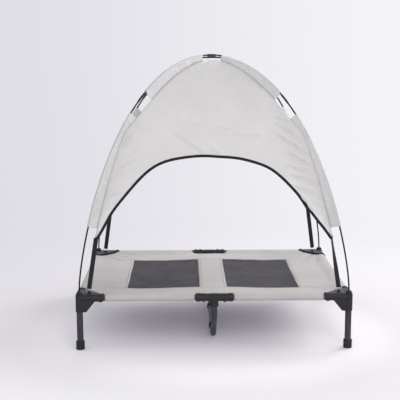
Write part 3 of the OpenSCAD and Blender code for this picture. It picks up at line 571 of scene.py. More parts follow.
FOLDS = {
    "front": [
        # level creases under the crown
        (-0.115, 1.209, -0.035, 1.212, 0.006, 0.0022),
        (-0.13, 1.184, 0.09, 1.181, 0.006, 0.0024),
        (0.05, 1.180, 0.175, 1.173, 0.006, 0.0022),
        (0.00, 1.163, 0.10, 1.163, 0.005, 0.0014),
        # long soft creases over the arch
        (-0.150, 0.985, -0.010, 0.957, 0.009, 0.0042),
        (-0.030, 0.962, 0.085, 0.936, 0.010, 0.0050),
        (0.065, 0.940, 0.225, 0.935, 0.010, 0.0044),
        (-0.185, 0.957, -0.085, 0.893, 0.009, 0.0046),
        (-0.108, 0.909, -0.030, 0.853, 0.010, 0.0054),
        (-0.010, 0.883, 0.034, 0.850, 0.009, 0.0036),
        # short pulls from the right seam
        (0.275, 1.034, 0.345, 1.006, 0.007, 0.0036),
        (0.270, 1.013, 0.360, 0.981, 0.008, 0.0046),
        (0.268, 0.984, 0.372, 0.942, 0.009, 0.0062),
        (0.262, 0.950, 0.392, 0.874, 0.010, 0.0078),
        (0.320, 0.872, 0.425, 0.806, 0.010, 0.0074),
        (0.310, 0.806, 0.432, 0.780, 0.009, 0.0064),
        (0.330, 0.766, 0.448, 0.741, 0.009, 0.0062),
        (0.340, 0.722, 0.464, 0.682, 0.010, 0.0058),
        (0.375, 0.668, 0.478, 0.626, 0.010, 0.0044),
        (0.405, 0.626, 0.490, 0.590, 0.009, 0.0032),
        # fine pulls from the left seam
        (-0.405, 0.868, -0.335, 0.936, 0.006, 0.0030),
        (-0.414, 0.888, -0.358, 0.946, 0.005, 0.0024),
        (-0.455, 0.768, -0.315, 0.862, 0.010, 0.0030),
        (-0.488, 0.666, -0.400, 0.693, 0.008, 0.0034),
        (-0.472, 0.720, -0.368, 0.795, 0.008, 0.0028),
        (-0.500, 0.612, -0.445, 0.640, 0.008, 0.0026),
    ],
    "rear": [
        (-0.15, 0.91, 0.05, 0.94, 0.012, 0.0040),
        (0.05, 0.93, 0.19, 0.90, 0.011, 0.0034),
        (-0.16, 1.200, 0.12, 1.207, 0.008, 0.0018),
        (0.10, 0.875, 0.02, 0.905, 0.011, 0.0034),
        (-0.27, 0.985, -0.36, 0.945, 0.010, 0.0046),
        (-0.28, 0.93, -0.39, 0.875, 0.011, 0.0056),
        (-0.33, 0.81, -0.43, 0.785, 0.010, 0.0046),
        (0.27, 0.96, 0.37, 0.925, 0.010, 0.0046),
        (0.33, 0.85, 0.42, 0.81, 0.011, 0.0044),
        (0.35, 0.74, 0.45, 0.71, 0.011, 0.0036),
    ],
    "left": [
        (-0.10, 0.90, 0.06, 0.93, 0.012, 0.0038),
        (-0.12, 1.195, 0.10, 1.200, 0.008, 0.0018),
        (0.19, 0.97, 0.27, 0.935, 0.010, 0.0046),
        (0.23, 0.85, 0.31, 0.81, 0.010, 0.0044),
        (-0.20, 0.94, -0.28, 0.90, 0.010, 0.0046),
        (-0.25, 0.78, -0.33, 0.75, 0.010, 0.0038),
    ],
    "right": [
        (-0.06, 0.93, 0.11, 0.90, 0.012, 0.0038),
        (-0.10, 1.205, 0.12, 1.198, 0.008, 0.0018),
        (0.20, 0.95, 0.28, 0.91, 0.010, 0.0046),
        (0.24, 0.83, 0.32, 0.80, 0.010, 0.0044),
        (-0.19, 0.98, -0.27, 0.94, 0.010, 0.0050),
        (-0.22, 0.88, -0.31, 0.835, 0.011, 0.0052),
        (-0.26, 0.74, -0.34, 0.71, 0.010, 0.0040),
    ],
}
PHASE = {"front": 0.0, "rear": 1.9, "left": 3.1, "right": 4.4}
HANG, WAVE, PUCKER = 0.0035, 0.0009, 0.0006
HANG_REACH, PUCKER_REACH, SEAM_HOLD = 0.16, 0.022, 0.014

def relief(name, c, z, along, off):
    """How far the cloth stands off its smooth surface, at a distance off from the ridge."""
    total = -HANG * np.clip(off / HANG_REACH, 0, 1) ** 2
    for row in FOLDS[name]:
        total = total + fold(c, z, *row)
    phase = PHASE[name]
    waves = np.sin(31 * c + 17 * z + phase) * np.sin(13 * c - 29 * z + 2 * phase)
    total = total + WAVE * waves
    pucker = np.sin(along * 390 + phase) + 0.7 * np.sin(along * 231 + 2 * phase + 9 * off)
    total = total + PUCKER * pucker * np.exp(-off / PUCKER_REACH)
    return total * np.clip(off / SEAM_HOLD, 0, 1)

print("folds:", {name: len(rows) for name, rows in FOLDS.items()})

# %% [markdown]
# The front panel does not hang evenly. Its edge is drawn up on the left, dips
# a little in the middle, rises again on the right and hangs lower near the
# right corner. Each row is one such pull: its place across the panel, its
# width and its height.

# %% Pulls on the front edge
FRONT_PULLS = [(-0.275, 0.130, 0.0285), (-0.450, 0.060, 0.0120), (0.030, 0.070, -0.0055),
               (0.255, 0.075, 0.0110), (0.440, 0.060, -0.0090)]
CORNER_FADE = 0.07

def drawn_up(c):
    rise = sum(height * np.exp(-((c - place) / width) ** 2)
               for place, width, height in FRONT_PULLS)
    end = np.clip((ARCH_HALF - np.abs(c)) / CORNER_FADE, 0, 1)
    return rise * end * end * (3 - 2 * end)

print("front edge is drawn up by", round(float(drawn_up(np.array(-0.28))) * 1000), "mm at most")

# %% Build the cover
SEAM_STEPS = 280
RIB_STEPS = {"front": 52, "rear": 40, "left": 32, "right": 32}

def panel_net(name):
    """Points of one panel, its two maps, and the line that its tape follows."""
    panel = PANELS[name]
    s = np.linspace(-1.0, 1.0, SEAM_STEPS + 1)
    r = np.linspace(0.0, 1.0, RIB_STEPS[name] + 1)
    edge = arch.at(np.abs(s)) * np.stack([np.where(s < 0, -1, 1), np.ones_like(s)], -1)
    high = ridge.at(np.abs(s))
    high = np.stack([np.sign(s) * high[:, 0] * panel["wide"], high[:, 1]], -1)
    if name in ("left", "right"):
        edge[:, 0] *= LEG_Y / LEG_X
    if name == "front":
        edge[:, 1] += drawn_up(edge[:, 0])
    low = np.stack([edge[:, 0], np.maximum(edge[:, 1], tip[1])], -1)
    flat = low[:, None] + (high - low)[:, None] * r[None, :, None]
    c, z = flat[..., 0], flat[..., 1]
    along = np.broadcast_to(np.abs(s)[:, None] * ridge.length, c.shape)
    off = np.linalg.norm(high[:, None] - flat, axis=-1)
    point, normal = on_panel(panel, c, z)
    lift = relief(name, c, z, along, off)
    place = point + normal * lift[..., None]
    length = np.interp(z, ridge_up[:, 1], slope_lengths * 0.9)
    line, out = on_panel(panel, edge[:, 0], edge[:, 1])
    tape = (line + out * lift[:, :1], out)
    return place, np.stack([c, length], -1), np.stack([along, off], -1), tape

def sheet_mesh(name, verts, faces, maps):
    mesh = bpy.data.meshes.new(name)
    mesh.from_pydata([tuple(v) for v in verts], [], faces)
    for map_name, values in maps.items():
        layer = mesh.uv_layers.new(name=map_name)
        flat = np.array(values, dtype=np.float32)
        corner = np.zeros(len(mesh.loops), dtype=np.int32)
        mesh.loops.foreach_get("vertex_index", corner)
        layer.data.foreach_set("uv", flat[corner].ravel())
    mesh.validate()
    thing = bpy.data.objects.new(name, mesh)
    bpy.context.scene.collection.objects.link(thing)
    mesh.polygons.foreach_set("use_smooth", [True] * len(mesh.polygons))
    return thing

def net_faces(rows, columns, start=0):
    return [(start + i * columns + j, start + (i + 1) * columns + j,
             start + (i + 1) * columns + j + 1, start + i * columns + j + 1)
            for i in range(rows - 1) for j in range(columns - 1)]

nets = {name: panel_net(name) for name in PANELS}
print("points in each panel:", nets["front"][0].shape[:2])

# %% Join the four panels along the ridges
MERGE = 0.00004
COVER_THICK, SLEEVE_THICK, WINDOW_THICK = 0.0012, 0.0006, 0.0006

def reworked(thing, change):
    """Apply a change to the mesh of a thing while it is open for editing."""
    work = bmesh.new()
    work.from_mesh(thing.data)
    change(work)
    work.to_mesh(thing.data)
    work.free()

def outward(thing, centre=None):
    """Merge doubles and point the faces outward, away from the centre if one is given."""
    def change(work):
        bmesh.ops.remove_doubles(work, verts=work.verts, dist=MERGE)
        bmesh.ops.recalc_face_normals(work, faces=work.faces)
        if centre is not None:
            total = sum((f.calc_center_median() - Vector(centre)).dot(f.normal) * f.calc_area()
                        for f in work.faces)
            if total < 0:
                bmesh.ops.reverse_faces(work, faces=work.faces)
    reworked(thing, change)

def thicken(thing, thickness, offset=-1.0):
    wall = thing.modifiers.new("thickness", "SOLIDIFY")
    wall.thickness = thickness
    wall.offset = offset
    wall.use_even_offset = False
    bpy.ops.object.select_all(action="DESELECT")
    thing.select_set(True)
    bpy.context.view_layer.objects.active = thing
    bpy.ops.object.modifier_apply(modifier=wall.name)

verts, faces, cloth_map, seam_of = [], [], [], []
for place, flat, seam, _ in nets.values():
    start = len(verts)
    rows, columns = place.shape[:2]
    verts += list(place.reshape(-1, 3))
    cloth_map += list(flat.reshape(-1, 2))
    seam_of += list(seam.reshape(-1, 2))
    faces += net_faces(rows, columns, start)
canopy = sheet_mesh("canopy_cover", verts, faces, {"cloth": cloth_map, "seam": seam_of})
outward(canopy, (0, 0, 0.7))
thicken(canopy, COVER_THICK)
canopy.data.materials.append(canopy_fabric)
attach(canopy, "canopy")
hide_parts("canopy_front", "canopy_rear", "canopy_left", "canopy_right")

# %% [markdown]
# ## Tape round the arches
# The raw edge of each arch is folded into a ribbed tape. The tape has to
# follow the edge of the cloth exactly, folds and all, so it is swept along
# the same points. Its section is a flat band with rounded edges, set square
# to the cloth at every point.

# %% Sweep a band along a line
def band_section(width, thick, rounds=3):
    """Outline of a flat band with rounded edges, as pairs of across and up."""
    half, r = width / 2 - thick / 2, thick / 2
    right = [(half + r * math.cos(a), r * math.sin(a))
             for a in np.linspace(-math.pi / 2, math.pi / 2, 2 * rounds + 1)]
    left = [(-x, -y) for x, y in right]
    top = [(x, r) for x in np.linspace(half, -half, 4)[1:-1]]
    bottom = [(x, -r) for x in np.linspace(-half, half, 4)[1:-1]]
    return np.array(right + top + left + bottom)

def sweep_band(name, path, up, section, finish):
    """A closed solid swept along a path, its section's up side along the directions up."""
    path, up = np.array(path), np.array(up)
    way = np.gradient(path, axis=0)
    way /= np.linalg.norm(way, axis=1, keepdims=True)
    side = np.cross(way, up)
    side /= np.linalg.norm(side, axis=1, keepdims=True)
    up = np.cross(side, way)
    lengths = np.concatenate([[0], np.cumsum(np.linalg.norm(np.diff(path, axis=0), axis=1))])
    rings = len(path)
    n = len(section)
    verts = (path[:, None] + side[:, None] * section[None, :, :1]
             + up[:, None] * section[None, :, 1:]).reshape(-1, 3)
    faces = [(i * n + j, i * n + (j + 1) % n, (i + 1) * n + (j + 1) % n, (i + 1) * n + j)
             for i in range(rings - 1) for j in range(n)]
    faces += [tuple(range(n - 1, -1, -1)), tuple(range((rings - 1) * n, rings * n))]
    cloth = [(section[j, 0], lengths[i]) for i in range(rings) for j in range(n)]
    thing = sheet_mesh(name, verts, faces, {"cloth": cloth})
    outward(thing)
    thing.data.materials.append(finish)
    return thing

TAPE_WIDTH, TAPE_THICK = 0.0125, 0.0026
TAPE_BELOW_TIP, TAPE_INSET = 0.0085, 0.0006
tape_section = band_section(TAPE_WIDTH, TAPE_THICK)
print("tape outline has", len(tape_section), "points")

# %% Bind the four arches
bindings = {}
for name, (_, _, _, (line, out)) in nets.items():
    kept = line[:, 2] > tip[1] - TAPE_BELOW_TIP
    middle = line[kept] - out[kept] * TAPE_INSET
    bindings[name] = sweep_band(f"arch_tape_{name}", middle, out[kept], tape_section, binding_tape)
    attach(bindings[name], "canopy")
    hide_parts(f"binding_{name}")
print("arches bound:", sorted(bindings))

# %% [markdown]
# ## Pole sleeves
# Along each ridge the cloth has a sleeve that the pole runs through: a strip
# folded in two round the pole, with both edges sewn to the ridge. It stops
# below the shoulder and starts again above it, and stops short of the crown.
# Each sleeve is a row of hairpin sections, square to the pole. The cloth is
# a little too long for its seam, so the hairpins are pushed about by smooth
# waves and the strip puckers.

# %% One hairpin strip
FIN_CHANNEL, FIN_NECK = 0.0056, 0.0035
SEWN_GAP, SEWN_HALF = 0.0006, 0.0004
SLEEVE_ROWS = 110
LOOSE_AT, LOOSE_WIDTH, PUFF = 0.90, 0.06, 0.0009

def share_on_pole(z):
    return float(np.interp(z, pole_middle[:, 1], np.linspace(0, 1, len(pole_middle))))

def hairpin(line, way, seam, puff):
    """Section from one sewn edge round the pole to the other, as reach inward and sideways."""
    inward = seam - line
    reach = np.linalg.norm(inward) - SEWN_GAP
    inward = inward / np.linalg.norm(inward)
    neck = FIN_CHANNEL + FIN_NECK
    flat = np.linspace(reach, neck, 6)
    bow = np.sin(np.linspace(0, math.pi, 6)) * 0.0006 + 0.0006
    angles = np.radians(np.linspace(120, -120, 9))
    loop = [(-FIN_CHANNEL * math.cos(a), FIN_CHANNEL * math.sin(a)) for a in angles]
    near = [(d, b) for d, b in zip(flat, bow + puff[0])]
    far = [(d, -b) for d, b in zip(flat[::-1], bow[::-1] + puff[1])]
    near[0] = (reach, SEWN_HALF)
    far[-1] = (reach, -SEWN_HALF)
    section = near + loop + far
    return [(line + inward * d, e) for d, e in section], section

def sleeve_strip(lift, low_share, high_share, wave):
    curve = pole_points(lift)
    slopes = np.gradient(curve, axis=0)
    shares = np.linspace(low_share, high_share, SLEEVE_ROWS)
    grid = np.linspace(0, 1, len(curve))
    verts, cloth, seam_map = [], [], []
    length = 0.0
    before = None
    for t in shares:
        line = np.array([np.interp(t, grid, curve[:, 0]), np.interp(t, grid, curve[:, 1])])
        way = np.array([np.interp(t, grid, slopes[:, 0]), np.interp(t, grid, slopes[:, 1])])
        way /= np.linalg.norm(way)
        off = (ridge.points - line) @ way
        foot = ridge.points[np.argmin(np.abs(off))]
        if before is not None:
            length += float(np.linalg.norm(line - before))
        before = line
        loose = 0.5 + 2.2 * math.exp(-((t - LOOSE_AT) / LOOSE_WIDTH) ** 2)
        sway = loose * (0.0004 * math.sin(length * 163 + wave + 2.0 * math.sin(length * 31))
                        + 0.0006 * math.sin(length * 47 + 2 * wave))
        puff = (PUFF + sway, PUFF - 0.8 * sway)
        section, flat = hairpin(line, way, foot, puff)
        runs = [0.0]
        for (d, b), (next_d, next_b) in zip(flat, flat[1:]):
            runs.append(runs[-1] + math.hypot(next_d - d, next_b - b))
        verts += [(place[0], e, place[1]) for place, e in section]
        cloth += [(run - runs[-1] / 2, length) for run in runs]
        seam_map += [(length, abs(d - flat[0][0])) for d, _ in flat]
    return verts, net_faces(SLEEVE_ROWS, len(flat)), cloth, seam_map, length

print("a strip has", SLEEVE_ROWS, "hairpins")

# %% Sew a sleeve to each ridge
def corner_turn(points, corner):
    """From the plane of a pole to its place over one corner."""
    sx, sy = CORNERS[corner]
    ax, ay = ALONG_X * sx, ALONG_Y * sy
    return [(d * ax - e * ay, d * ay + e * ax, z) for d, e, z in points]

OVER_CORNERS = ("fl", "rr")
LOWER_ENDS, UPPER_FOOT, CROWN_GAP = (0.2743, 0.7495), 0.8406, 0.057
SLEEVE_PARTS = [tuple(share_on_pole(risen(end)) for end in LOWER_ENDS),
                (share_on_pole(risen(UPPER_FOOT)), 1 - CROWN_GAP / (3 * POLE_CROWN))]
sleeves = {}
for number, corner in enumerate(CORNERS):
    lift = CROSSING_LIFT if corner in OVER_CORNERS else -CROSSING_LIFT
    verts, faces, cloth, seam_map, longest = [], [], [], [], 0.0
    for low, high in SLEEVE_PARTS:
        more, quads, flat, near, length = sleeve_strip(lift, low, high, 1.3 * number + low)
        faces += [tuple(v + len(verts) for v in quad) for quad in quads]
        verts += corner_turn(more, corner)
        cloth += flat
        seam_map += near
        longest += length
    sleeve = sheet_mesh(f"pole_sleeve_{corner}", verts, faces, {"cloth": cloth, "seam": seam_map})
    outward(sleeve)
    area = sum(p.area for p in sleeve.data.polygons)
    thicken(sleeve, SLEEVE_THICK, 0.0)
    sleeve.data.materials.append(shaded_sleeve_fabric)
    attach(sleeve, "canopy")
    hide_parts(f"ridge_sleeve_{corner}")
    sleeves[corner] = (sleeve, area, longest)
print("sleeve lengths:", {k: round(v[2], 3) for k, v in sleeves.items()})

# %% [markdown]
# ## Straps
# A flat strap hangs from each corner of the canopy to the ring on its
# bracket, and holds the cloth down. Webbing that is pulled tight is almost
# straight, and only one of the four is twisted. Each end is folded back and
# sewn, so the band is two layers thick there.

# %% Corner straps
RING_INSET, RING_Z, RING_REACH, RING_WIRE = 0.050, 0.251, 0.012, 0.0016
STRAP_WIDTH, STRAP_THICK, STRAP_STEPS = 0.020, 0.0016, 48
STRAP_CLEAR, TIP_INSET, TWIST = 0.0003, 0.006, 62
FOLD_BACK, FOLD_EASE, FOLD_EXTRA = 0.034, 0.004, 0.55
ring_x, ring_y = LEG_X - RING_INSET * ALONG_X, LEG_Y - RING_INSET * ALONG_Y
strap_low = RING_Z + RING_REACH + RING_WIRE + STRAP_CLEAR
strap_high = tip[1] - STRAP_CLEAR

def strap_path(corner, twist):
    sx, sy = CORNERS[corner]
    low = np.array([sx * ring_x, sy * ring_y, strap_low])
    out = tip[0] - TIP_INSET
    high = np.array([sx * out * ALONG_X, sy * out * ALONG_Y, strap_high])
    t = np.linspace(0, 1, STRAP_STEPS + 1)
    path = low + (high - low) * t[:, None]
    turned = np.radians(twist * (t * t * (3 - 2 * t))) * sx * sy
    up = np.stack([np.sin(turned), -np.cos(turned) * sy, 0 * t], -1)
    return path, up

def strap(corner, twist):
    path, up = strap_path(corner, twist)
    section = band_section(STRAP_WIDTH, STRAP_THICK)
    thing = sweep_band(f"strap_{corner}_webbing", path, up, section, webbing)
    direction = path[-1] - path[0]
    direction /= np.linalg.norm(direction)
    total = np.linalg.norm(path[-1] - path[0])

    def fold_back(body):
        for vert in body.verts:
            along = float((np.array(vert.co) - path[0]) @ direction)
            ends = min(along, total - along)
            near = min(max((FOLD_BACK - ends) / FOLD_EASE, 0.0), 1.0)
            centre = path[0] + direction * along
            up_here = up[min(int(along / total * STRAP_STEPS), STRAP_STEPS)]
            off = float((np.array(vert.co) - centre) @ up_here)
            vert.co += Vector(up_here) * (off * FOLD_EXTRA * near)

    reworked(thing, fold_back)
    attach(thing, "canopy")
    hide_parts(f"strap_{corner}")
    return thing

straps = {corner: strap(corner, TWIST if corner == "fr" else 0) for corner in CORNERS}
print("straps:", sorted(straps), "each", round(strap_high - strap_low, 3), "m high")

# %% Width of the cloth in each sleeve
for corner, (sleeve, area, longest) in sleeves.items():
    width = area / longest
    "pole_over" if corner in OVER_CORNERS else "pole_under"

# %% [markdown]
# ## The sleeping sheet
# The sheet is one piece of heavy cloth with a hem sewn round each rail. It is
# cut back at the four corner brackets and at the two middle brackets, and it
# has two window holes. All of that is a net of straight lines, so the net is
# drawn flat first, with a line on every cut edge, and each point is then
# carried to its place: level in the middle, up and over the rail, round it
# and back under to the row of stitches.

# %% Lines of the flat net
RAIL_Z = 0.232
HEM_R = 0.0157
WRAP = math.radians(213)
TAIL = 0.036
HEM_END, CUT_SIDE = 0.1129, 0.0205
CUT_SLANT = 0.0995
NOTCH_X = 0.087
SHEET_THICK = 0.0012
NET_STEP, WRAP_STEP, TAIL_STEP, SLANT_STEPS = 0.0085, 0.0036, 0.0075, 12

def spread(stops, step):
    """All the stops, with even steps between them."""
    out = [stops[0]]
    for a, b in zip(stops, stops[1:]):
        n = max(1, math.ceil((b - a) / step - 1e-6))
        out += [a + (b - a) * k / n for k in range(1, n + 1)]
    return out

def flat_lines(leg, window, extra):
    corner = [leg - CUT_SLANT + (CUT_SLANT - CUT_SIDE) * k / SLANT_STEPS
              for k in range(SLANT_STEPS + 1)]
    stops = sorted(set([0.0, *window, *extra, leg - HEM_END, *corner, leg]))
    inner = spread(stops, NET_STEP)
    outer = spread([leg, leg + HEM_R * WRAP], WRAP_STEP)[1:]
    under = spread([outer[-1], outer[-1] + TAIL], TAIL_STEP)[1:]
    half = inner + outer + under
    return np.array([-v for v in half[:0:-1]] + half)

lines_x = flat_lines(LEG_X, (WINDOW_IN, WINDOW_OUT), (NOTCH_X,))
lines_y = flat_lines(LEG_Y, (SEAM_Y,), ())
print("net lines:", len(lines_x), "by", len(lines_y))

# %% Where each point of the sheet goes
def smooth(v):
    v = np.clip(v, 0, 1)
    return v * v * (3 - 2 * v)

def wrapped(flat, leg):
    """Place and height, for a flat distance that may run over and round the rail."""
    size = np.abs(flat)
    angle = np.clip((size - leg) / HEM_R, 0, WRAP)
    out = np.where(size > leg, leg + HEM_R * np.sin(angle), size)
    height = RAIL_Z + HEM_R * np.cos(angle)
    tail = np.clip(size - leg - HEM_R * WRAP, 0, None)
    out = out + tail * math.cos(WRAP)
    height = height - tail * math.sin(WRAP)
    return np.sign(flat) * out, height

LEVEL, SAG, SAG_MORE = 0.2392, 0.0048, 0.0082
BRACKET_R, BRACKET_EASE, LIP = 0.086, 0.034, 0.055
DIP, PULL = 0.0060, 0.0016

def sheet_top(x, y):
    """Height of the sheet between the rails: a sag, a lip up to each rail, and small pulls."""
    u, v = np.abs(x), np.abs(y)
    deep = SAG + SAG_MORE * smooth((u - 0.04) / 0.26)
    sag = deep * np.clip(1 - (u / 0.57) ** 4, 0, 1) * np.clip(1 - (v / 0.42) ** 4, 0, 1)
    base = LEVEL - sag
    a, b = LEG_X - u, LEG_Y - v
    away = np.hypot(a, b)
    held = smooth((away - BRACKET_R) / BRACKET_EASE)
    lip_x = smooth(1 - a / LIP) * held
    lip_y = smooth(1 - b / LIP) * held * smooth((u - NOTCH_X + 0.006) / 0.016)
    dip = DIP * smooth(1 - (b - CUT_SIDE) / 0.07) * smooth((NOTCH_X + 0.012 - u) / 0.030)
    lip = 1 - (1 - lip_x) * (1 - lip_y)
    angle = np.arctan2(b, a + 1e-6)
    fan = np.sin(angle * 19 + 3 * np.sign(x) + np.sign(y))
    pulled = PULL * fan * np.exp(-((away - 0.16) / 0.075) ** 2)
    wavy = (0.0006 * np.sin(17 * x + 5 * y) * np.sin(23 * y - 9 * x)
            + 0.0004 * np.sin(61 * x) * np.sin(47 * y + 1.0))
    return base - dip + (RAIL_Z + HEM_R - base) * lip + (pulled + wavy) * (1 - lip)

EDGE_EASE = 0.03

def sheet_place(u, v):
    x, round_x = wrapped(u, LEG_X)
    y, round_y = wrapped(v, LEG_Y)
    top = sheet_top(np.clip(x, -LEG_X, LEG_X), np.clip(y, -LEG_Y, LEG_Y))
    z = np.where(np.abs(u) > LEG_X, round_x, np.where(np.abs(v) > LEG_Y, round_y, top))
    edge_x = np.minimum(np.abs(np.abs(x) - WINDOW_IN), np.abs(np.abs(x) - WINDOW_OUT))
    edge_y = np.abs(np.abs(y) - SEAM_Y)
    near_x = np.exp(-(edge_x / EDGE_EASE) ** 2) * (np.abs(y) < 0.33)
    near_y = np.exp(-(edge_y / EDGE_EASE) ** 2) * (np.abs(x) < 0.46)
    x = x + 0.0005 * np.sin(24 * y + 2 * np.sign(x)) * near_x
    y = y + 0.0011 * np.sin(19 * x + np.sign(y)) * near_y
    return np.stack([x, y, z], -1)

def cut_away(u, v):
    """True in the parts of the flat net that are cut out."""
    a, b = LEG_X - np.abs(u), LEG_Y - np.abs(v)
    corner = ((a < HEM_END) & (b < CUT_SIDE)) | ((b < HEM_END) & (a < CUT_SIDE))
    middle = (np.abs(u) < NOTCH_X) & (b < CUT_SIDE)
    window = (np.abs(u) > WINDOW_IN) & (np.abs(u) < WINDOW_OUT) & (np.abs(v) < SEAM_Y)
    return corner | middle | window

net_u, net_v = np.meshgrid(lines_x, lines_y, indexing="ij")
sheet_points = sheet_place(net_u, net_v)
print("sheet sags to", round(float(sheet_top(np.array(0.0), np.array(0.0))), 4))

# %% Sew the sheet
def slanted_faces(rows, columns):
    """Faces of the net that the cuts leave. A corner's slant halves some of them."""
    faces = []
    depth = LEG_X - np.abs(net_u) + LEG_Y - np.abs(net_v)
    for i in range(rows - 1):
        for j in range(columns - 1):
            mid_u = (lines_x[i] + lines_x[i + 1]) / 2
            mid_v = (lines_y[j] + lines_y[j + 1]) / 2
            if cut_away(mid_u, mid_v):
                continue
            around = [(i, j), (i + 1, j), (i + 1, j + 1), (i, j + 1)]
            inside = [p for p in around if depth[p] > CUT_SIDE + CUT_SLANT - 1e-5
                      or abs(mid_u) < LEG_X - CUT_SLANT or abs(mid_v) < LEG_Y - CUT_SLANT]
            if len(inside) >= 3:
                faces.append(tuple(p[0] * columns + p[1] for p in inside))
    return faces

sheet_cloth_map = np.stack([net_u, net_v], -1).reshape(-1, 2)
bed_sheet = sheet_mesh("sleeping_sheet", sheet_points.reshape(-1, 3),
                       slanted_faces(*net_u.shape), {"cloth": sheet_cloth_map})

def drop_loose(work):
    loose = [v for v in work.verts if not v.link_faces]
    bmesh.ops.delete(work, geom=loose, context="VERTS")

reworked(bed_sheet, drop_loose)
bed_sheet.data.update()
thicken(bed_sheet, SHEET_THICK)
bed_sheet.data.materials.append(sheet_fabric)
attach(bed_sheet, "bed")
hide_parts("bed_fabric")

# %% [markdown]
# ## The mesh windows
# Each window is a panel of knitted mesh sewn under the edges of its hole. It
# is lighter than the sheet, so it lies a little lower and takes a few soft
# ripples where it is pulled unevenly.

# %% Two mesh windows
WINDOW_LAP, WINDOW_DROP, WINDOW_SLACK = 0.008, 0.0013, 0.0012
WINDOW_NET = (56, 88)

RIPPLES = {
    "left": [(-0.33, -0.20, -0.14, -0.24, 0.010, 0.0008),
             (-0.30, 0.10, -0.12, 0.17, 0.012, 0.0006)],
    "right": [(0.10, -0.21, 0.33, -0.13, 0.010, 0.0013),
              (0.12, -0.05, 0.30, 0.06, 0.012, 0.0011),
              (0.09, 0.10, 0.17, 0.22, 0.010, 0.0010),
              (0.24, 0.20, 0.36, 0.12, 0.010, 0.0009)],
}

for side, word in ((-1, "left"), (1, "right")):
    u = np.linspace(WINDOW_IN - WINDOW_LAP, WINDOW_OUT + WINDOW_LAP, WINDOW_NET[0])
    v = np.linspace(-SEAM_Y - WINDOW_LAP, SEAM_Y + WINDOW_LAP, WINDOW_NET[1])
    grid_u, grid_v = np.meshgrid(u * side, v, indexing="ij")
    across_border = np.minimum(np.abs(grid_u) - WINDOW_IN, WINDOW_OUT - np.abs(grid_u))
    border = np.minimum(across_border, SEAM_Y - np.abs(grid_v))
    rippled = sum(fold(grid_u, grid_v, *row) for row in RIPPLES[word])
    loose = (rippled - WINDOW_SLACK) * smooth(border / EDGE_EASE)
    z = sheet_top(grid_u, grid_v) - WINDOW_DROP + loose
    points = np.stack([grid_u, grid_v, z], -1).reshape(-1, 3)
    window = sheet_mesh(f"mesh_panel_{word}", points, net_faces(*WINDOW_NET),
                        {"cloth": np.stack([grid_u, grid_v], -1).reshape(-1, 2)})
    outward(window, (0, 0, -2))
    area = sum(p.area for p in window.data.polygons)
    thicken(window, WINDOW_THICK)
    window.data.materials.append(mesh_fabric)
    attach(window, "bed")
    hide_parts(f"mesh_window_{word}")
    print(word, "window", round(area, 4), "square metres")

# %% [markdown]
# ## The studio
# The object stands on a wide pale floor, which takes its soft shadow. Close
# to the object the paper is painted lighter and glows a little for the camera,
# painted light that keeps the shadow soft, and it is painted darker towards the
# back and to the right, as painted shade.
# Further out the floor fades into the colour of the air round it, and the sky
# shows the same colour to the camera, so no horizon is seen from any side.
# The air is a little brighter to the right, as in a room with its windows on
# that side. It is only shown to the camera and to shiny or clear surfaces, so
# it puts no light on the object.

# %% Colour of the air
AIR_LEFT, AIR_RIGHT = (0.735, 0.722, 0.785), (0.905, 0.900, 0.930)

def air_colour(finish, toward_x):
    return finish.mixed(toward_x.fade(-0.27, 0.27), AIR_LEFT, AIR_RIGHT)

def shown(finish):
    """1 for the camera and for shiny or clear surfaces, 0 for light on its way to the object."""
    path = finish.node("ShaderNodeLightPath")
    rays = sum(path.other(f"Is {kind} Ray") for kind in ("Camera", "Glossy", "Transmission"))
    return rays.least(1.0)

print("air from", AIR_LEFT, "to", AIR_RIGHT)

# %% Floor
FLOOR_RADIUS = 150.0
NONE = (0.0, 0.0, 0.0)

bpy.ops.object.select_all(action="DESELECT")
bpy.ops.mesh.primitive_circle_add(vertices=96, radius=FLOOR_RADIUS, fill_type="NGON",
                                  location=(0, 0, 0))
floor = bpy.context.object
floor.name = "studio_floor"
paper = Finish("studio_paper", Roughness=0.9, Specular_IOR_Level=0.0, Emission_Strength=1.0)
x, y, _ = paper.split(paper.place())
reach = (x * x + y * y).math("SQRT")
ahead = (x * x + (y + 0.5) * (y + 0.5)).math("SQRT")
away = ahead.fade(1.0, 2.8)
beside = (x * x * 1.7 + (y + 0.2) * (y + 0.2) * 2.25).math("SQRT").fade(0.80, 1.25)
to_right = (x / 2.4 + 0.5).fade(0.0, 1.0)
# Painted shade: the paper is painted darker towards the back and to the right.
dim = paper.mixed(y.fade(-1.5, 0.3), (0.775, 0.765, 0.778), (0.580, 0.571, 0.584))
pale = paper.mixed(to_right, dim, (0.600, 0.591, 0.600))
# Painted light: close to the object the paper is painted lighter.
painted_light_near = paper.mixed(to_right, (0.865, 0.853, 0.868), (0.790, 0.779, 0.790))
air = air_colour(paper, x / (reach + 4.0))
seen = shown(paper)
soft = paper.mixed(beside, painted_light_near, pale)
base = paper.mixed(away * seen, paper.mixed(seen, pale, soft), NONE)
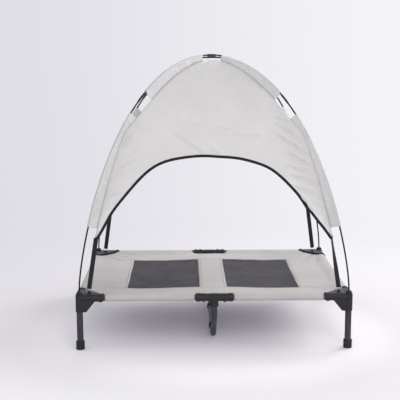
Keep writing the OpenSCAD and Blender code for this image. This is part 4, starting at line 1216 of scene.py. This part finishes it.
# Painted light: a glow seen only by the camera lifts the floor and its shadow near the object.
painted_glow = paper.mixed(beside, (0.088, 0.081, 0.110), (0.130, 0.122, 0.150))
glow = paper.mixed(away, painted_glow, air)
paper.feed(paper.shell.inputs["Emission Color"], paper.mixed(seen, NONE, glow))
floor.data.materials.append(paper.finish(base))
print("floor made")

# %% Sky
class Sky(Finish):
    def __init__(self, world):
        world.use_nodes = True
        self.tree = world.node_tree

SKY_COLOUR, SKY_STRENGTH = (0.985, 0.975, 1.0, 1.0), 0.70
world = bpy.data.worlds.new("studio")
bpy.context.scene.world = world
sky = Sky(world)
light = world.node_tree.nodes["Background"]
light.inputs["Color"].default_value = SKY_COLOUR
light.inputs["Strength"].default_value = SKY_STRENGTH
toward = sky.split(sky.node("ShaderNodeTexCoord", out=0))[0]
view = sky.node("ShaderNodeBackground", None, air_colour(sky, toward), 1.0)
both = sky.node("ShaderNodeMixShader", None, shown(sky), Wire(sky, light.outputs[0]), view)
sky.feed(world.node_tree.nodes["World Output"].inputs["Surface"], both)
print("sky made")

# %% Lamps
LAMP_AIM = Vector((0.0, 0.0, 0.3))
LAMP_COLOUR = (1.0, 0.99, 0.98)
LAMPS = [  # name, place, size in metres, power in watts
    ("right_window", (5.6, -0.6, 3.4), 2.4, 45),
    ("rear_window", (3.8, 2.2, 3.2), 2.4, 125),
    ("back_screen", (0.5, 4.5, 4.0), 3.0, 80),
    ("front_screen", (0.8, -4.6, 3.6), 2.6, 64),
    ("low_screen", (0.6, -6.6, 1.5), 3.2, 68),
]

def lamp(name, place, size, power):
    data = bpy.data.lights.new(name, "AREA")
    data.shape = "SQUARE"
    data.size = size
    data.energy = power
    data.color = LAMP_COLOUR
    thing = bpy.data.objects.new(name, data)
    thing.visible_camera = False
    bpy.context.scene.collection.objects.link(thing)
    aim = (LAMP_AIM - Vector(place)).to_track_quat("-Z", "Y").to_matrix().to_4x4()
    thing.matrix_world = Matrix.Translation(place) @ aim

for row in LAMPS:
    lamp(*row)
bpy.context.scene.view_settings.view_transform = "Standard"
print("lamps:", [l.name for l in bpy.data.lights])

# %% [markdown]
# ## The solid model's space
# The dressed part has to stay in the space of the solid model.

# %% Import json
import json
